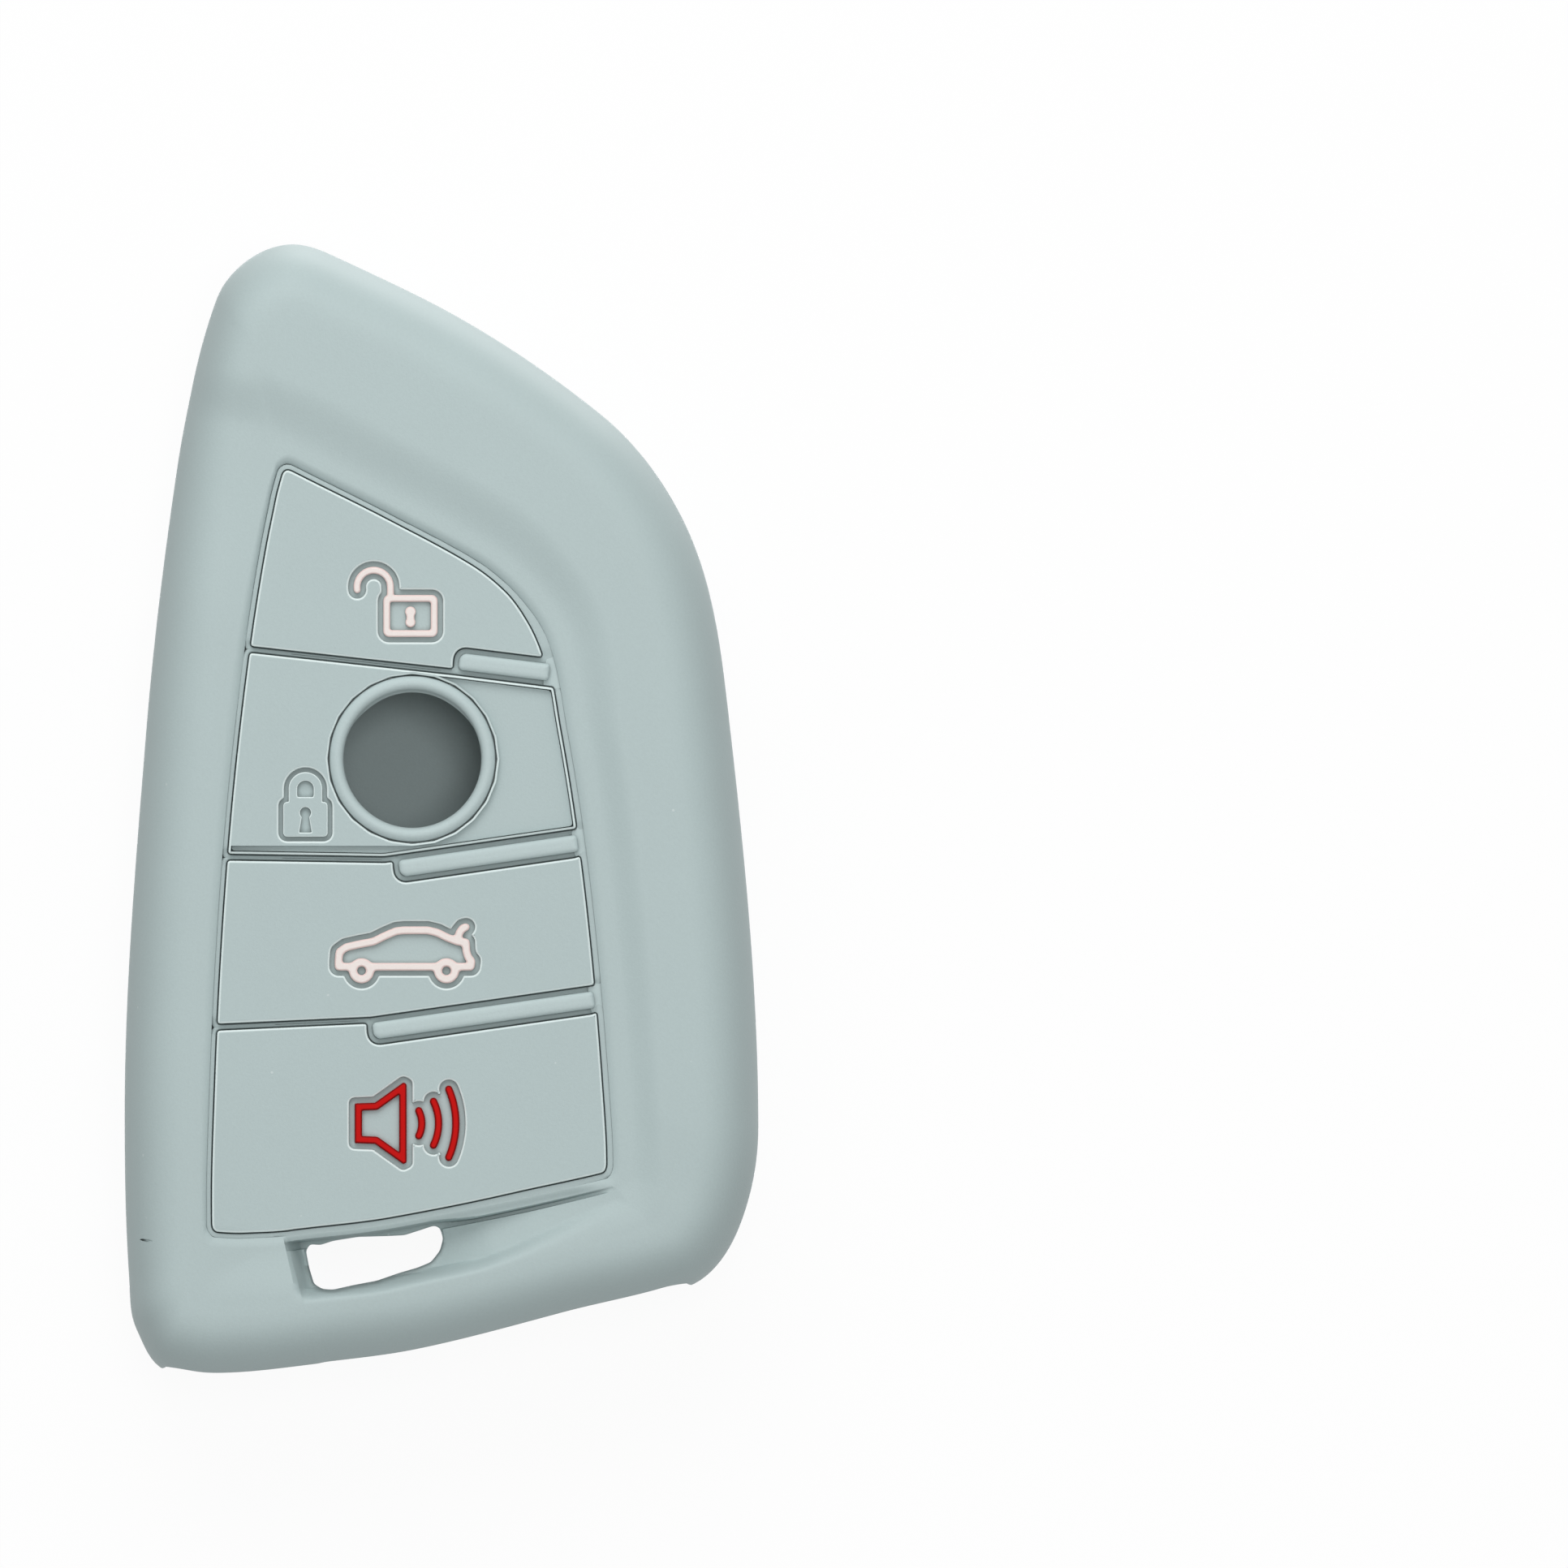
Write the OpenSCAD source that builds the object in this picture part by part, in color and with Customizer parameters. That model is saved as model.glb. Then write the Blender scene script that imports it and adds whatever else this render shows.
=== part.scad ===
// Silicone cover for a car key fob. It lies on its back with its buttons up: +Y runs
// from the mouth at the bottom edge to the tip, and z = 0 is the face it rests on.

/* [Cover] */
// Length from the mouth to the tip
cover_l = 87; // [80:1:96]
// Width across both sides
cover_w = 48.8; // [46:0.2:54]
// Thickness over both faces
cover_t = 18; // [17:0.5:21]
// Wall of the skin
wall = 1.5; // [1.2:0.1:1.7]
// Width of the rounded edge
edge_w = 5; // [4.4:0.1:5.2]
// Power of the edge's curve, where 2 is a circle
edge_power = 2.4; // [2:0.1:3]

/* [Button panel] */
// Height of the rim above the button panel
panel_drop = 0.8; // [0.4:0.1:1]
// Thickness of the button panel
panel_t = 1.8; // [1.7:0.1:2]
// Distance from the frame to the foot of the slope round it
band_foot = 1.5; // [1.3:0.1:1.7]
// Distance from the frame to the top of that slope
band_top = 4.5; // [4:0.1:5]
// Rise of the panel towards the left side
crease_rise = 0.48; // [0.2:0.02:0.6]
// Width over which it rises
crease_w = 5.5; // [4:0.1:7]
// Rounding of the frame's edge
lip_r = 0.28; // [0.2:0.01:0.3]
// Gap between the frame and the buttons
gutter_w = 0.58; // [0.5:0.02:0.7]
// Groove between two buttons
groove_w = 0.5; // [0.4:0.02:0.6]
// Corner radius of the buttons
pad_corner_r = 0.3; // [0.1:0.05:0.4]

/* [Buttons] */
// Travel of a button
travel = 0.6; // [0.3:0.05:0.6]
// Thickness of a button's upper plate
plate_t = 0.6; // [0.5:0.02:0.6]
// Step from the plate's edge in to the boss under it
boss_step = 0.7; // [0.6:0.02:0.9]
// Gap left under the plate of a pressed button
rest_gap = 0.15; // [0.1:0.01:0.25]
// Overlap of the groove floors under the buttons
floor_overlap = 0.15; // [0.1:0.05:0.3]
// Depth of the symbols' pockets
pocket_d = 0.45; // [0.3:0.05:0.5]
// Width of the moat round the coloured symbols
moat_w = 0.44; // [0.3:0.02:0.5]
// Width of the groove round the closed padlock
lock_moat_w = 0.34; // [0.3:0.02:0.4]
// Height of the coloured symbols in their pockets
fill_h = 0.42; // [0.3:0.02:0.5]

/* [Window and bars] */
// Width of the lip round the window
ring_w = 1.1; // [0.9:0.05:1.3]
// Height of that lip above the button
ring_proud = 0.3; // [0.1:0.05:0.5]
// Least width of the button between that lip and the groove above it
ring_margin = 0.24; // [0.1:0.02:0.4]
// Crisp line between the lip and the button
ring_gap = 0.08; // [0.05:0.01:0.12]
// Width of an accent bar
bar_w = 1.25; // [1:0.05:1.4]
// Corner radius of an accent bar
bar_corner_r = 0.45; // [0.3:0.05:0.5]
// Groove round an accent bar
bar_groove = 0.5; // [0.4:0.02:0.6]
// Radius of an accent bar's crown
bar_crown_r = 0.85; // [0.75:0.05:1.2]
// Height of an accent bar above the buttons
bar_proud = 0.2; // [0.1:0.05:0.4]

/* [Scoop, slot and mouth] */
// Depth of the scoops on both faces
scoop_d = 3.2; // [2:0.1:3.6]
// Corner radius of the key ring slot
slot_r = 0.8; // [0.5:0.05:1]
// Height of the mouth
mouth_h = 9.2; // [8:0.1:10]
// Depth of the shallow panel in the back
recess_d = 0.5; // [0.3:0.05:0.8]

/* [Symbols] */
// Width of the open padlock's body
unlock_w = 4.2; // [3.6:0.1:4.6]
// Width of the closed padlock's body
lock_w = 3.44; // [3:0.02:3.6]
// Button left between its groove and the lip of the window
lock_gap = 0.43; // [0.2:0.01:0.6]
// Length of the car
car_l = 10.25; // [9:0.25:11]
// Height of the horn
horn_h = 6.3; // [5.5:0.1:6.6]
// Stroke of the car's outline
car_stroke = 0.61; // [0.5:0.01:0.7]
// Stroke of the padlock, the horn and the sound waves
line_stroke = 0.54; // [0.45:0.01:0.6]

/* [Hidden] */
$fn = 48;

silicone = "#b1c1c1";
pale_fill = "#ece0dc";
red_fill = "#cd201a";

part_z = cover_t / 2;                    // mould parting plane
panel_z = cover_t - panel_drop;          // top of the button panel
under_z = panel_z - panel_t;             // its underside
plate_z = panel_z - plate_t;             // underside of a button's plate
floor_z = plate_z - travel - rest_gap;   // top of the groove floors and of the webs
web_t = floor_z - under_z;               // their thickness
inner_edge_w = edge_w - wall + wall / 4; // rounded edge of the pocket inside
shelf_w = gutter_w;                      // ledge inside the frame that carries the floors
scoop_wrap = wall * 0.6;                 // how much wider the scoop is inside the pocket
fit = 0.02;                              // running gap at the webs
tuck = 0.04;                             // how far the groove floors sit inside the ledge
over = 1;                                // overrun of cuts

// The outline, clockwise from the tip: shares of the width and length, the heading in
// degrees, and how many straight steps the next stretch takes.
outline_shares = [
    [-0.235, 0.500, 0, 2], [-0.156, 0.486, -25, 3], [0.037, 0.432, -30, 4],
    [0.252, 0.349, -39, 4], [0.383, 0.254, -64, 4], [0.456, 0.069, -83.5, 6],
    [0.500, -0.282, -90, 3], [0.469, -0.371, -112, 3], [0.389, -0.4225, -160, 4],
    [0.195, -0.451, -165, 4], [-0.039, -0.484, -168.5, 3], [-0.178, -0.495, -173, 2],
    [-0.197, -0.497, -173, 3], [-0.357, -0.505, -180, 2], [-0.436, -0.4965, 157, 3],
    [-0.4815, -0.460, 115, 2], [-0.493, -0.414, 94, 3], [-0.500, -0.270, 90, 6],
    [-0.466, 0.069, 85.4, 5], [-0.416, 0.306, 81.5, 2], [-0.393, 0.375, 78.5, 2],
    [-0.3545, 0.452, 69.5, 3],
];
// The edge of the button panel's frame, in step with the outline.
frame_shares = [
    [-0.247, 0.305, 20], [-0.231, 0.303, -27], [-0.082, 0.261, -27.5],
    [0.052, 0.221, -31], [0.148, 0.170, -55], [0.199, 0.069, -79.5],
    [0.2655, -0.253, -86], [0.271, -0.315, -90], [0.258, -0.3275, -166],
    [0.133, -0.343, -168], [-0.072, -0.3655, -169.5], [-0.227, -0.3765, -173],
    [-0.246, -0.378, -174], [-0.311, -0.380, -177], [-0.358, -0.379, 176],
    [-0.369, -0.373, 120], [-0.371, -0.364, 91], [-0.367, -0.253, 88],
    [-0.327, 0.069, 83.5], [-0.284, 0.236, 79.5], [-0.270, 0.275, 79],
    [-0.259, 0.2985, 74],
];
// The slope round the panel at those places: its foot, its top and its rise, as shares.
slope_shares = [
    [1.2, 1.45, 1], [1, 1.38, 1], [1, 1.27, 1], [1, 1.22, 1], [1.05, 1.1, 1],
    [0.95, 0.93, 1], [1.05, 0.93, 0.95], [1, 0.95, 0.7], [0.55, 1, 0.55],
    [0.5, 1.05, 0.55], [0.5, 1.05, 0.55], [0.5, 1.05, 0.55], [0.5, 1.05, 0.55],
    [0.5, 1.05, 0.5], [0.5, 1.1, 0.3], [0.5, 1.1, 0.2], [0.5, 1.1, 0.1],
    [0.5, 1.1, 0], [0.5, 1.1, 0], [4, 2.8, 1], [2.9, 2.4, 1], [1.6, 2, 1],
];
// How far the rings crowd into the scoop at those places, from 0 to 1.
crowd_shares = [0, 0, 0, 0, 0, 0, 0, 0, 1, 1, 1, 1, 1, 1, 0.6, 0.2, 0, 0, 0, 0, 0, 0];
// The back's three inner curves in step with the outline: the rim's inner edge, the top
// of the panel's slope and its foot.
rim_shares = [
    [-0.252, 0.386], [-0.184, 0.368], [-0.031, 0.322], [0.135, 0.274], [0.250, 0.202],
    [0.316, 0.080], [0.355, -0.218], [0.357, -0.285], [0.279, -0.329],
    [0.133, -0.345], [-0.072, -0.367], [-0.227, -0.3775], [-0.246, -0.379],
    [-0.299, -0.372], [-0.328, -0.351], [-0.334, -0.328], [-0.336, -0.293],
    [-0.334, -0.218], [-0.311, 0.069], [-0.289, 0.253], [-0.279, 0.316],
    [-0.270, 0.362],
];
slope_top_shares = [
    [-0.248, 0.364], [-0.197, 0.348], [-0.045, 0.303], [0.113, 0.256], [0.223, 0.194],
    [0.279, 0.086], [0.326, -0.230], [0.332, -0.272], [0.305, -0.283],
    [0.154, -0.292], [-0.031, -0.303], [-0.127, -0.311], [-0.143, -0.313],
    [-0.211, -0.309], [-0.246, -0.293], [-0.260, -0.276], [-0.268, -0.241],
    [-0.277, -0.184], [-0.266, 0.057], [-0.254, 0.241], [-0.250, 0.305],
    [-0.248, 0.345],
];
slope_foot_shares = [
    [-0.221, 0.298], [-0.189, 0.287], [-0.074, 0.257], [0.066, 0.220], [0.168, 0.174],
    [0.223, 0.084], [0.295, -0.201], [0.299, -0.231], [0.273, -0.232],
    [0.143, -0.236], [-0.020, -0.241], [-0.102, -0.244], [-0.115, -0.244],
    [-0.148, -0.237], [-0.168, -0.225], [-0.180, -0.214], [-0.186, -0.198],
    [-0.189, -0.161], [-0.205, 0.057], [-0.215, 0.224], [-0.219, 0.268],
    [-0.221, 0.287],
];
// Where the rings of the rounded edge lie, as shares of its width.
edge_shares = [0, 0.012, 0.05, 0.13, 0.26, 0.45, 0.7, 1];
inner_edge_shares = [1, 0.6, 0.32, 0.14, 0.04, 0];
// Where the scoop starts to sink at its left wall, and where its right end runs out.
scoop_left_share = -0.246;
scoop_right_share = 0.262;
scoop_full_share = 0;
scoop_wall_share = 0.019;
scoop_first = 8;
scoop_last = 12;
mouth_first = 8;
mouth_last = 14;
// The scoop across its width: the top and the foot of its steep wall, where its floor
// starts to rise and where it meets the rim, all from the frame.
scoop_wall_top = 0.3;
scoop_wall_foot = 0.55;
scoop_floor = 1.1;
scoop_end = 4.8;
inner_start = scoop_floor + wall / 3;
inner_end = scoop_end - wall / 2;
sunk_rings = [for (k = [0:4]) scoop_floor + (scoop_end - scoop_floor) * k / 5];
inner_sunk_rings = [for (k = [0:3]) inner_start + (inner_end - inner_start) * k / 3];
// The crease in the panel: its place at the middle, and its lean
crease_share = -0.261;
crease_lean = 0.043;
// The grooves between the buttons: where each starts at the left, and how far across the
// width it bends to follow its accent bar
divider_shares = [[-0.45, 0.148], [-0.45, -0.0395], [-0.45, -0.194]];
bend_shares = [0.021, -0.090, -0.111];
// The side of each bar on which that groove runs on straight: -1 is below, 1 is above
straight_sides = [-1, 1, 1];
// The accent bars: half their width from their left end, and the middle of their right one
upper_bar_shares = [[0.041, 0.130], [0.170, 0.121]];
middle_bar_shares = [[-0.0535, -0.049], [0.215, -0.030]];
lower_bar_shares = [[-0.095, -0.193], [0.241, -0.168]];
slot_shares = [[-0.197, -0.3935], [-0.0155, -0.380], [-0.0265, -0.398], [-0.185, -0.4155]];
window_share = [-0.046, 0.0445];
unlock_share = [-0.049, 0.171];
lock_turn = 195.7;                       // heading from the window to the lock's shackle
car_share = [-0.0575, -0.123];
horn_share = [-0.096, -0.278];

n = len(outline_shares);
stops = [for (i = [0:n - 1]) for (k = [0:outline_shares[i][3] - 1])
    [i, k / outline_shares[i][3]]];

function place(share) = [share.x * cover_w, share.y * cover_l];
function clamp(v) = min(1, max(0, v));
function ease(u) = let (c = clamp(u)) c * c * (3 - 2 * c);
function unit(v) = v / norm(v);
function heading(a) = [cos(a), sin(a)];

// A smooth stretch from row i of a table of places and headings to the next row
function curve(table, i, u) = let (
    p = place(table[i]),
    q = place(table[(i + 1) % n]),
    reach = norm(q - p),
    a = heading(table[i][2]) * reach,
    b = heading(table[(i + 1) % n][2]) * reach
) p * (1 + 2 * u) * (1 - u) * (1 - u) + a * u * (1 - u) * (1 - u)
    + q * u * u * (3 - 2 * u) - b * u * u * (1 - u);

// The same through a table of places alone, with each heading from its neighbours
function spline(table, i, u) = let (
    p = place(table[i]),
    q = place(table[(i + 1) % n]),
    a = (q - place(table[(i + n - 1) % n])) / 2,
    b = (place(table[(i + 2) % n]) - p) / 2
) p * (1 + 2 * u) * (1 - u) * (1 - u) + a * u * (1 - u) * (1 - u)
    + q * u * u * (3 - 2 * u) - b * u * u * (1 - u);

function column(table, i, u) =
    table[i] * (1 - ease(u)) + table[(i + 1) % n] * ease(u);

// Inward direction of the rounded edge: between square to the outline and straight at the
// curve inside it, and nearer to the second
lean_share = 2.2;
function inward(i, u, target) = let (
    step_share = 0.01,
    along = curve(outline_shares, i, u + step_share) - curve(outline_shares, i, u - step_share),
    ray = target - curve(outline_shares, i, u)
) unit(unit([along.y, -along.x]) + lean_share * unit(ray));

function edge_height(share) = pow(1 - pow(1 - clamp(share), edge_power), 1 / edge_power);

function scoop_depth(i, x, grow) = i < scoop_first || i > scoop_last ? 0 : scoop_d
    * ease((x / cover_w - scoop_left_share + grow / cover_w) / scoop_wall_share)
    * sin(90 * clamp((scoop_right_share - x / cover_w) / (scoop_right_share - scoop_full_share)));
// The scoop's profile at distance e from the frame. Inside the pocket it is wider by grow.
function scoop_profile(e, grow) = let (
    wall_top = scoop_wall_top - grow,
    wall_foot = scoop_wall_foot - grow,
    rise = scoop_floor + grow / 2,
    end = scoop_end + grow
) ease((e - wall_top) / (wall_foot - wall_top)) * (1 - ease((e - rise) / (end - rise)));

function crease(p) =
    crease_rise * clamp((crease_share * cover_w + crease_lean * p.y - p.x) / crease_w);

// Height of the front's outer face at place p, e away from the frame
function front_top(i, u, p, e) = let (
    s = column(slope_shares, i, u),
    foot = s[0] * band_foot,
    top = s[1] * band_top
) panel_z + max(crease(p), s[2] * panel_drop * ease((e - foot) / (top - foot)));

function lip(e) = e >= lip_r ? 0 : lip_r - sqrt(lip_r * lip_r - (lip_r - e) * (lip_r - e));

// One section of the front: a closed loop of points from the parting plane, over the rim,
// down at the frame and back inside
function front_section(i, u) = let (
    o = curve(outline_shares, i, u),
    f = curve(frame_shares, i, u),
    way = inward(i, u, f),
    crest = o + way * edge_w,
    reach = norm(crest - f),
    out = unit(crest - f),
    inner_crest = o + way * (wall + inner_edge_w),
    inner_reach = norm(inner_crest - f),
    inner_out = unit(inner_crest - f),
    s = column(slope_shares, i, u),
    crowd = column(crowd_shares, i, u),
    top = min(s[1] * band_top, reach * 0.9),
    foot = min(s[0] * band_foot, reach * 0.45),
    inner_top = min(s[1] * band_top, inner_reach * 0.85),
    inner_foot = min(s[0] * band_foot, inner_reach * 0.55),
    depth = scoop_depth(i, f.x, 0),
    inner_depth = scoop_depth(i, f.x, scoop_wrap),
    band = [(reach + top) / 2, top, top * 2 / 3 + foot / 3, top / 3 + foot * 2 / 3, foot],
    e_out = concat([for (k = [0:4]) band[k] * (1 - crowd) + sunk_rings[4 - k] * crowd],
        [scoop_wall_foot, scoop_wall_top, lip_r / 2, 0]),
    inner_band = [(inner_reach + inner_top) / 2, inner_top,
        (inner_top + inner_foot) / 2, inner_foot],
    e_in = concat([-scoop_wall_foot, -scoop_wall_foot / 2, scoop_wall_top],
        [for (k = [3:-1:0]) inner_band[k] * (1 - crowd) + inner_sunk_rings[3 - k] * crowd])
) concat(
    [for (share = edge_shares) let (
        p = o + way * edge_w * share,
        z = front_top(i, u, p, reach + edge_w * (1 - share))
    ) [p.x, p.y, part_z + (z - part_z) * edge_height(share)]],
    [for (e = e_out) let (
        p = f + out * e
    ) [p.x, p.y, front_top(i, u, p, e) - lip(e) - depth * scoop_profile(e, 0)]],
    [for (e = [0, -shelf_w]) let (p = f + inner_out * e) [p.x, p.y, floor_z + tuck]],
    [for (e = e_in) let (
        p = f + inner_out * e,
        z = front_top(i, u, p, e) - wall,
        mix = ease((e - scoop_wall_top) / wall)
    ) [p.x, p.y, under_z * (1 - mix) + z * mix - inner_depth * scoop_profile(e, scoop_wrap)]],
    [for (share = inner_edge_shares) let (
        p = o + way * (wall + inner_edge_w * share),
        z = front_top(i, u, p, inner_reach + inner_edge_w * (1 - share)) - wall
    ) [p.x, p.y, part_z + (z - part_z) * edge_height(share)]]
);

// Skin between sections: a polyhedron closed all the way round, or capped at its ends
module loft(sections, capped) {
    m = len(sections);
    k = len(sections[0]);
    rows = capped ? k - 2 : k - 1;
    walls = [for (i = [0:m - 1]) for (j = [0:rows]) let (
        a = i * k + j,
        b = i * k + (j + 1) % k,
        c = (i + 1) % m * k + (j + 1) % k,
        d = (i + 1) % m * k + j
    ) each [[a, c, b], [a, d, c]]];
    caps = capped ? [[for (i = [m - 1:-1:0]) i * k], [for (i = [0:m - 1]) i * k + k - 1]] : [];
    polyhedron(points = [for (s = sections) each s], faces = concat(walls, caps));
}

module slot_cut() {
    translate([0, 0, -over])
        linear_extrude(cover_t + 2 * over)
            offset(r = slot_r)
                polygon([for (s = slot_shares) place(s)]);
}

// The mouth: a band along the bottom edge, from outside the wall to inside the pocket
module mouth_cut() {
    run = [for (s = stops) if (s[0] >= mouth_first && s[0] + s[1] <= mouth_last) s];
    outer = [for (s = run) let (f = curve(frame_shares, s[0], s[1]))
        curve(outline_shares, s[0], s[1]) - inward(s[0], s[1], f) * 2 * wall];
    inner = [for (k = [len(run) - 1:-1:0]) let (
        s = run[k],
        f = curve(frame_shares, s[0], s[1])
    ) curve(outline_shares, s[0], s[1]) + inward(s[0], s[1], f) * 2 * wall];
    translate([0, 0, part_z - mouth_h / 2])
        linear_extrude(mouth_h)
            polygon(concat(outer, inner));
}

// One section of the back, from the foot of its panel's slope out to the parting plane
// and back inside
function back_section(i, u) = let (
    o = curve(outline_shares, i, u),
    r = spline(rim_shares, i, u),
    t = spline(slope_top_shares, i, u),
    g = spline(slope_foot_shares, i, u),
    way = inward(i, u, r),
    crest = o + way * edge_w,
    reach = norm(crest - r),
    out = unit(crest - r),
    inner_crest = o + way * (wall + inner_edge_w),
    inner_reach = norm(inner_crest - r),
    inner_out = unit(inner_crest - r),
    crowd = column(crowd_shares, i, u),
    depth = scoop_depth(i, r.x, 0),
    inner_depth = scoop_depth(i, r.x, scoop_wrap),
    sunk = concat([0, scoop_wall_top, scoop_wall_foot], sunk_rings),
    even = [for (k = [0:7]) reach * k / 8],
    inner_sunk = concat([-scoop_wall_foot, -scoop_wall_foot / 2], inner_sunk_rings),
    inner_even = [for (k = [0:5]) inner_reach * k / 6]
) concat(
    [[g.x, g.y, recess_d], [t.x, t.y, 0]],
    [for (k = [0:7]) let (
        e = even[k] * (1 - crowd) + sunk[k] * crowd,
        p = r + out * e
    ) [p.x, p.y, depth * scoop_profile(e, 0)]],
    [for (k = [len(edge_shares) - 1:-1:0]) let (
        p = o + way * edge_w * edge_shares[k]
    ) [p.x, p.y, part_z * (1 - edge_height(edge_shares[k]))]],
    [for (k = [len(inner_edge_shares) - 1:-1:0]) let (
        p = o + way * (wall + inner_edge_w * inner_edge_shares[k])
    ) [p.x, p.y, part_z - (part_z - wall) * edge_height(inner_edge_shares[k])]],
    [for (k = [5:-1:0]) let (
        e = inner_even[k] * (1 - crowd) + inner_sunk[k] * crowd,
        p = r + inner_out * e
    ) [p.x, p.y, wall + inner_depth * scoop_profile(e, scoop_wrap)]],
    [[t.x, t.y, wall], [g.x, g.y, recess_d + wall]]
);

module front_shell() {
    color(silicone)
        union() {
            difference() {
                loft([for (s = stops) front_section(s[0], s[1])], false);
                slot_cut();
                mouth_cut();
            }
            groove_floors();
        }
}

module back_shell() {
    color(silicone)
        difference() {
            loft([for (s = stops) back_section(s[0], s[1])], true);
            slot_cut();
            mouth_cut();
        }
}

// Outlines of what lies in the panel
module panel_outline() {
    polygon([for (s = stops) curve(frame_shares, s[0], s[1])]);
}

bars = [upper_bar_shares, middle_bar_shares, lower_bar_shares];

function bar_way(k) = unit(place(bars[k][1]) - place(bars[k][0]));
// Middle of the groove beside a bar's start, on its straight side
function bar_side(k) = place(bars[k][0])
    + straight_sides[k] * (bar_w / 2 + bar_groove - groove_w / 2)
        * [-bar_way(k).y, bar_way(k).x];
// Middle of the groove between buttons k and k + 1
function divider(k) = let (
    way = bar_way(k),
    side = bar_side(k),
    x = bend_shares[k] * cover_w
) [place(divider_shares[k]), [x, side.y + (x - side.x) * way.y / way.x], side + way * cover_w];
function turned(list) = [for (k = [len(list) - 1:-1:0]) list[k]];
function distance(p, a, b) = let (
    way = unit(b - a),
    v = p - a
) abs(way.x * v.y - way.y * v.x);

// The lip of the window fills the button's height there, less its margin
window_at = place(window_share);
ring_r = distance(window_at, divider(0)[0], divider(0)[1]) - groove_w / 2 - ring_gap - ring_margin;
window_r = ring_r - ring_w;
ring_foot_r = ring_r - boss_step;        // its part below the button's plate

unlock_at = place(unlock_share);
lock_shackle_r = lock_w * 0.378;
lock_shackle_y = lock_w * 0.68;
lock_at = window_at - [0, lock_shackle_y]
    + (ring_r + ring_gap + lock_gap + lock_moat_w + lock_shackle_r) * heading(lock_turn);
car_at = place(car_share);
horn_at = place(horn_share);

// An accent bar's outline, grown on all sides and run on past its right end
module bar_outline(k, grow, run_on) {
    a = place(bars[k][0]);
    b = place(bars[k][1]);
    half = bar_w / 2 + grow;
    r = bar_corner_r + grow;
    end = norm(b - a) + grow + run_on;
    translate(a)
        rotate(atan2(b.y - a.y, b.x - a.x)) {
            for (x = [r - half, end - r], y = [r - half, half - r])
                translate([x, y])
                    circle(r = r);
            translate([r - half, -half])
                square([end + half - 2 * r, 2 * half]);
            translate([-half, r - half])
                square([end + half, 2 * (half - r)]);
        }
}

module pad_band(k) {
    far = [cover_w, cover_l];
    step = [0, groove_w / 2];
    upper = k == 0 ? [[-far.x, far.y], far] : [for (p = divider(k - 1)) p - step];
    lower = k == len(bars) ? [-far, [far.x, -far.y]] : [for (p = divider(k)) p + step];
    polygon(concat(upper, turned(lower)));
}

module pad_outline(k) {
    offset(r = pad_corner_r)
        offset(delta = -pad_corner_r)
            difference() {
                intersection() {
                    offset(delta = -gutter_w)
                        panel_outline();
                    pad_band(k);
                }
                for (b = [0:len(bars) - 1])
                    bar_outline(b, bar_groove, bar_w);
            }
}

module groove_floors() {
    translate([0, 0, under_z + tuck])
        linear_extrude(floor_z - under_z - tuck)
            difference() {
                offset(delta = -shelf_w / 4)
                    panel_outline();
                for (k = [0:len(bars)])
                    offset(delta = -floor_overlap)
                        pad_outline(k);
            }
}

// Everything under the panel's face, which rises to the left of the crease
module under_panel_face() {
    left = crease_share * cover_w - crease_w;
    translate([0, cover_l / 2, 0])
        rotate([90, 0, 0])
            linear_extrude(cover_l)
                polygon([
                    [-cover_w, 0], [-cover_w, panel_z + crease_rise],
                    [left, panel_z + crease_rise], [left + crease_w, panel_z],
                    [cover_w, panel_z], [cover_w, 0],
                ]);
}

module pad_body(k) {
    intersection() {
        union() {
            translate([0, 0, plate_z])
                linear_extrude(cover_t - plate_z)
                    pad_outline(k);
            translate([0, 0, under_z])
                linear_extrude(plate_z - under_z + plate_t / 2)
                    offset(delta = -boss_step)
                        pad_outline(k);
        }
        rotate(-atan(crease_lean))
            under_panel_face();
    }
}

module web(k) {
    color(silicone)
        translate([0, 0, under_z])
            linear_extrude(web_t)
                difference() {
                    offset(delta = -floor_overlap)
                        pad_outline(k);
                    offset(delta = fit - boss_step)
                        pad_outline(k);
                }
}

module accent_bar(k) {
    a = place(bars[k][0]);
    b = place(bars[k][1]);
    top = panel_z + bar_proud;
    axis_z = top - bar_crown_r;
    color(silicone)
        intersection() {
            translate([0, 0, floor_z])
                linear_extrude(top - floor_z)
                    bar_outline(k, 0, 0);
            translate([a.x, a.y, axis_z])
                rotate(atan2(b.y - a.y, b.x - a.x)) {
                    translate([-bar_w, 0, 0])
                        rotate([0, 90, 0])
                            cylinder(r = bar_crown_r, h = norm(b - a) + 2 * bar_w);
                    translate([-bar_w, -bar_w, floor_z - axis_z])
                        cube([norm(b - a) + 2 * bar_w, 2 * bar_w, axis_z - floor_z]);
                }
        }
}

// Symbols, each drawn about its own middle
module arc_line(r, from, to, stroke) {
    steps = 6;
    intersection() {
        difference() {
            circle(r = r + stroke / 2);
            circle(r = r - stroke / 2);
        }
        polygon(concat([[0, 0]],
            [for (k = [0:steps]) 2 * r * heading(from + (to - from) * k / steps)]));
    }
    for (a = [from, to])
        translate(r * heading(a))
            circle(r = stroke / 2);
}

module rounded_box(w, h, r) {
    offset(r = r)
        square([w - 2 * r, h - 2 * r], center = true);
}

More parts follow.
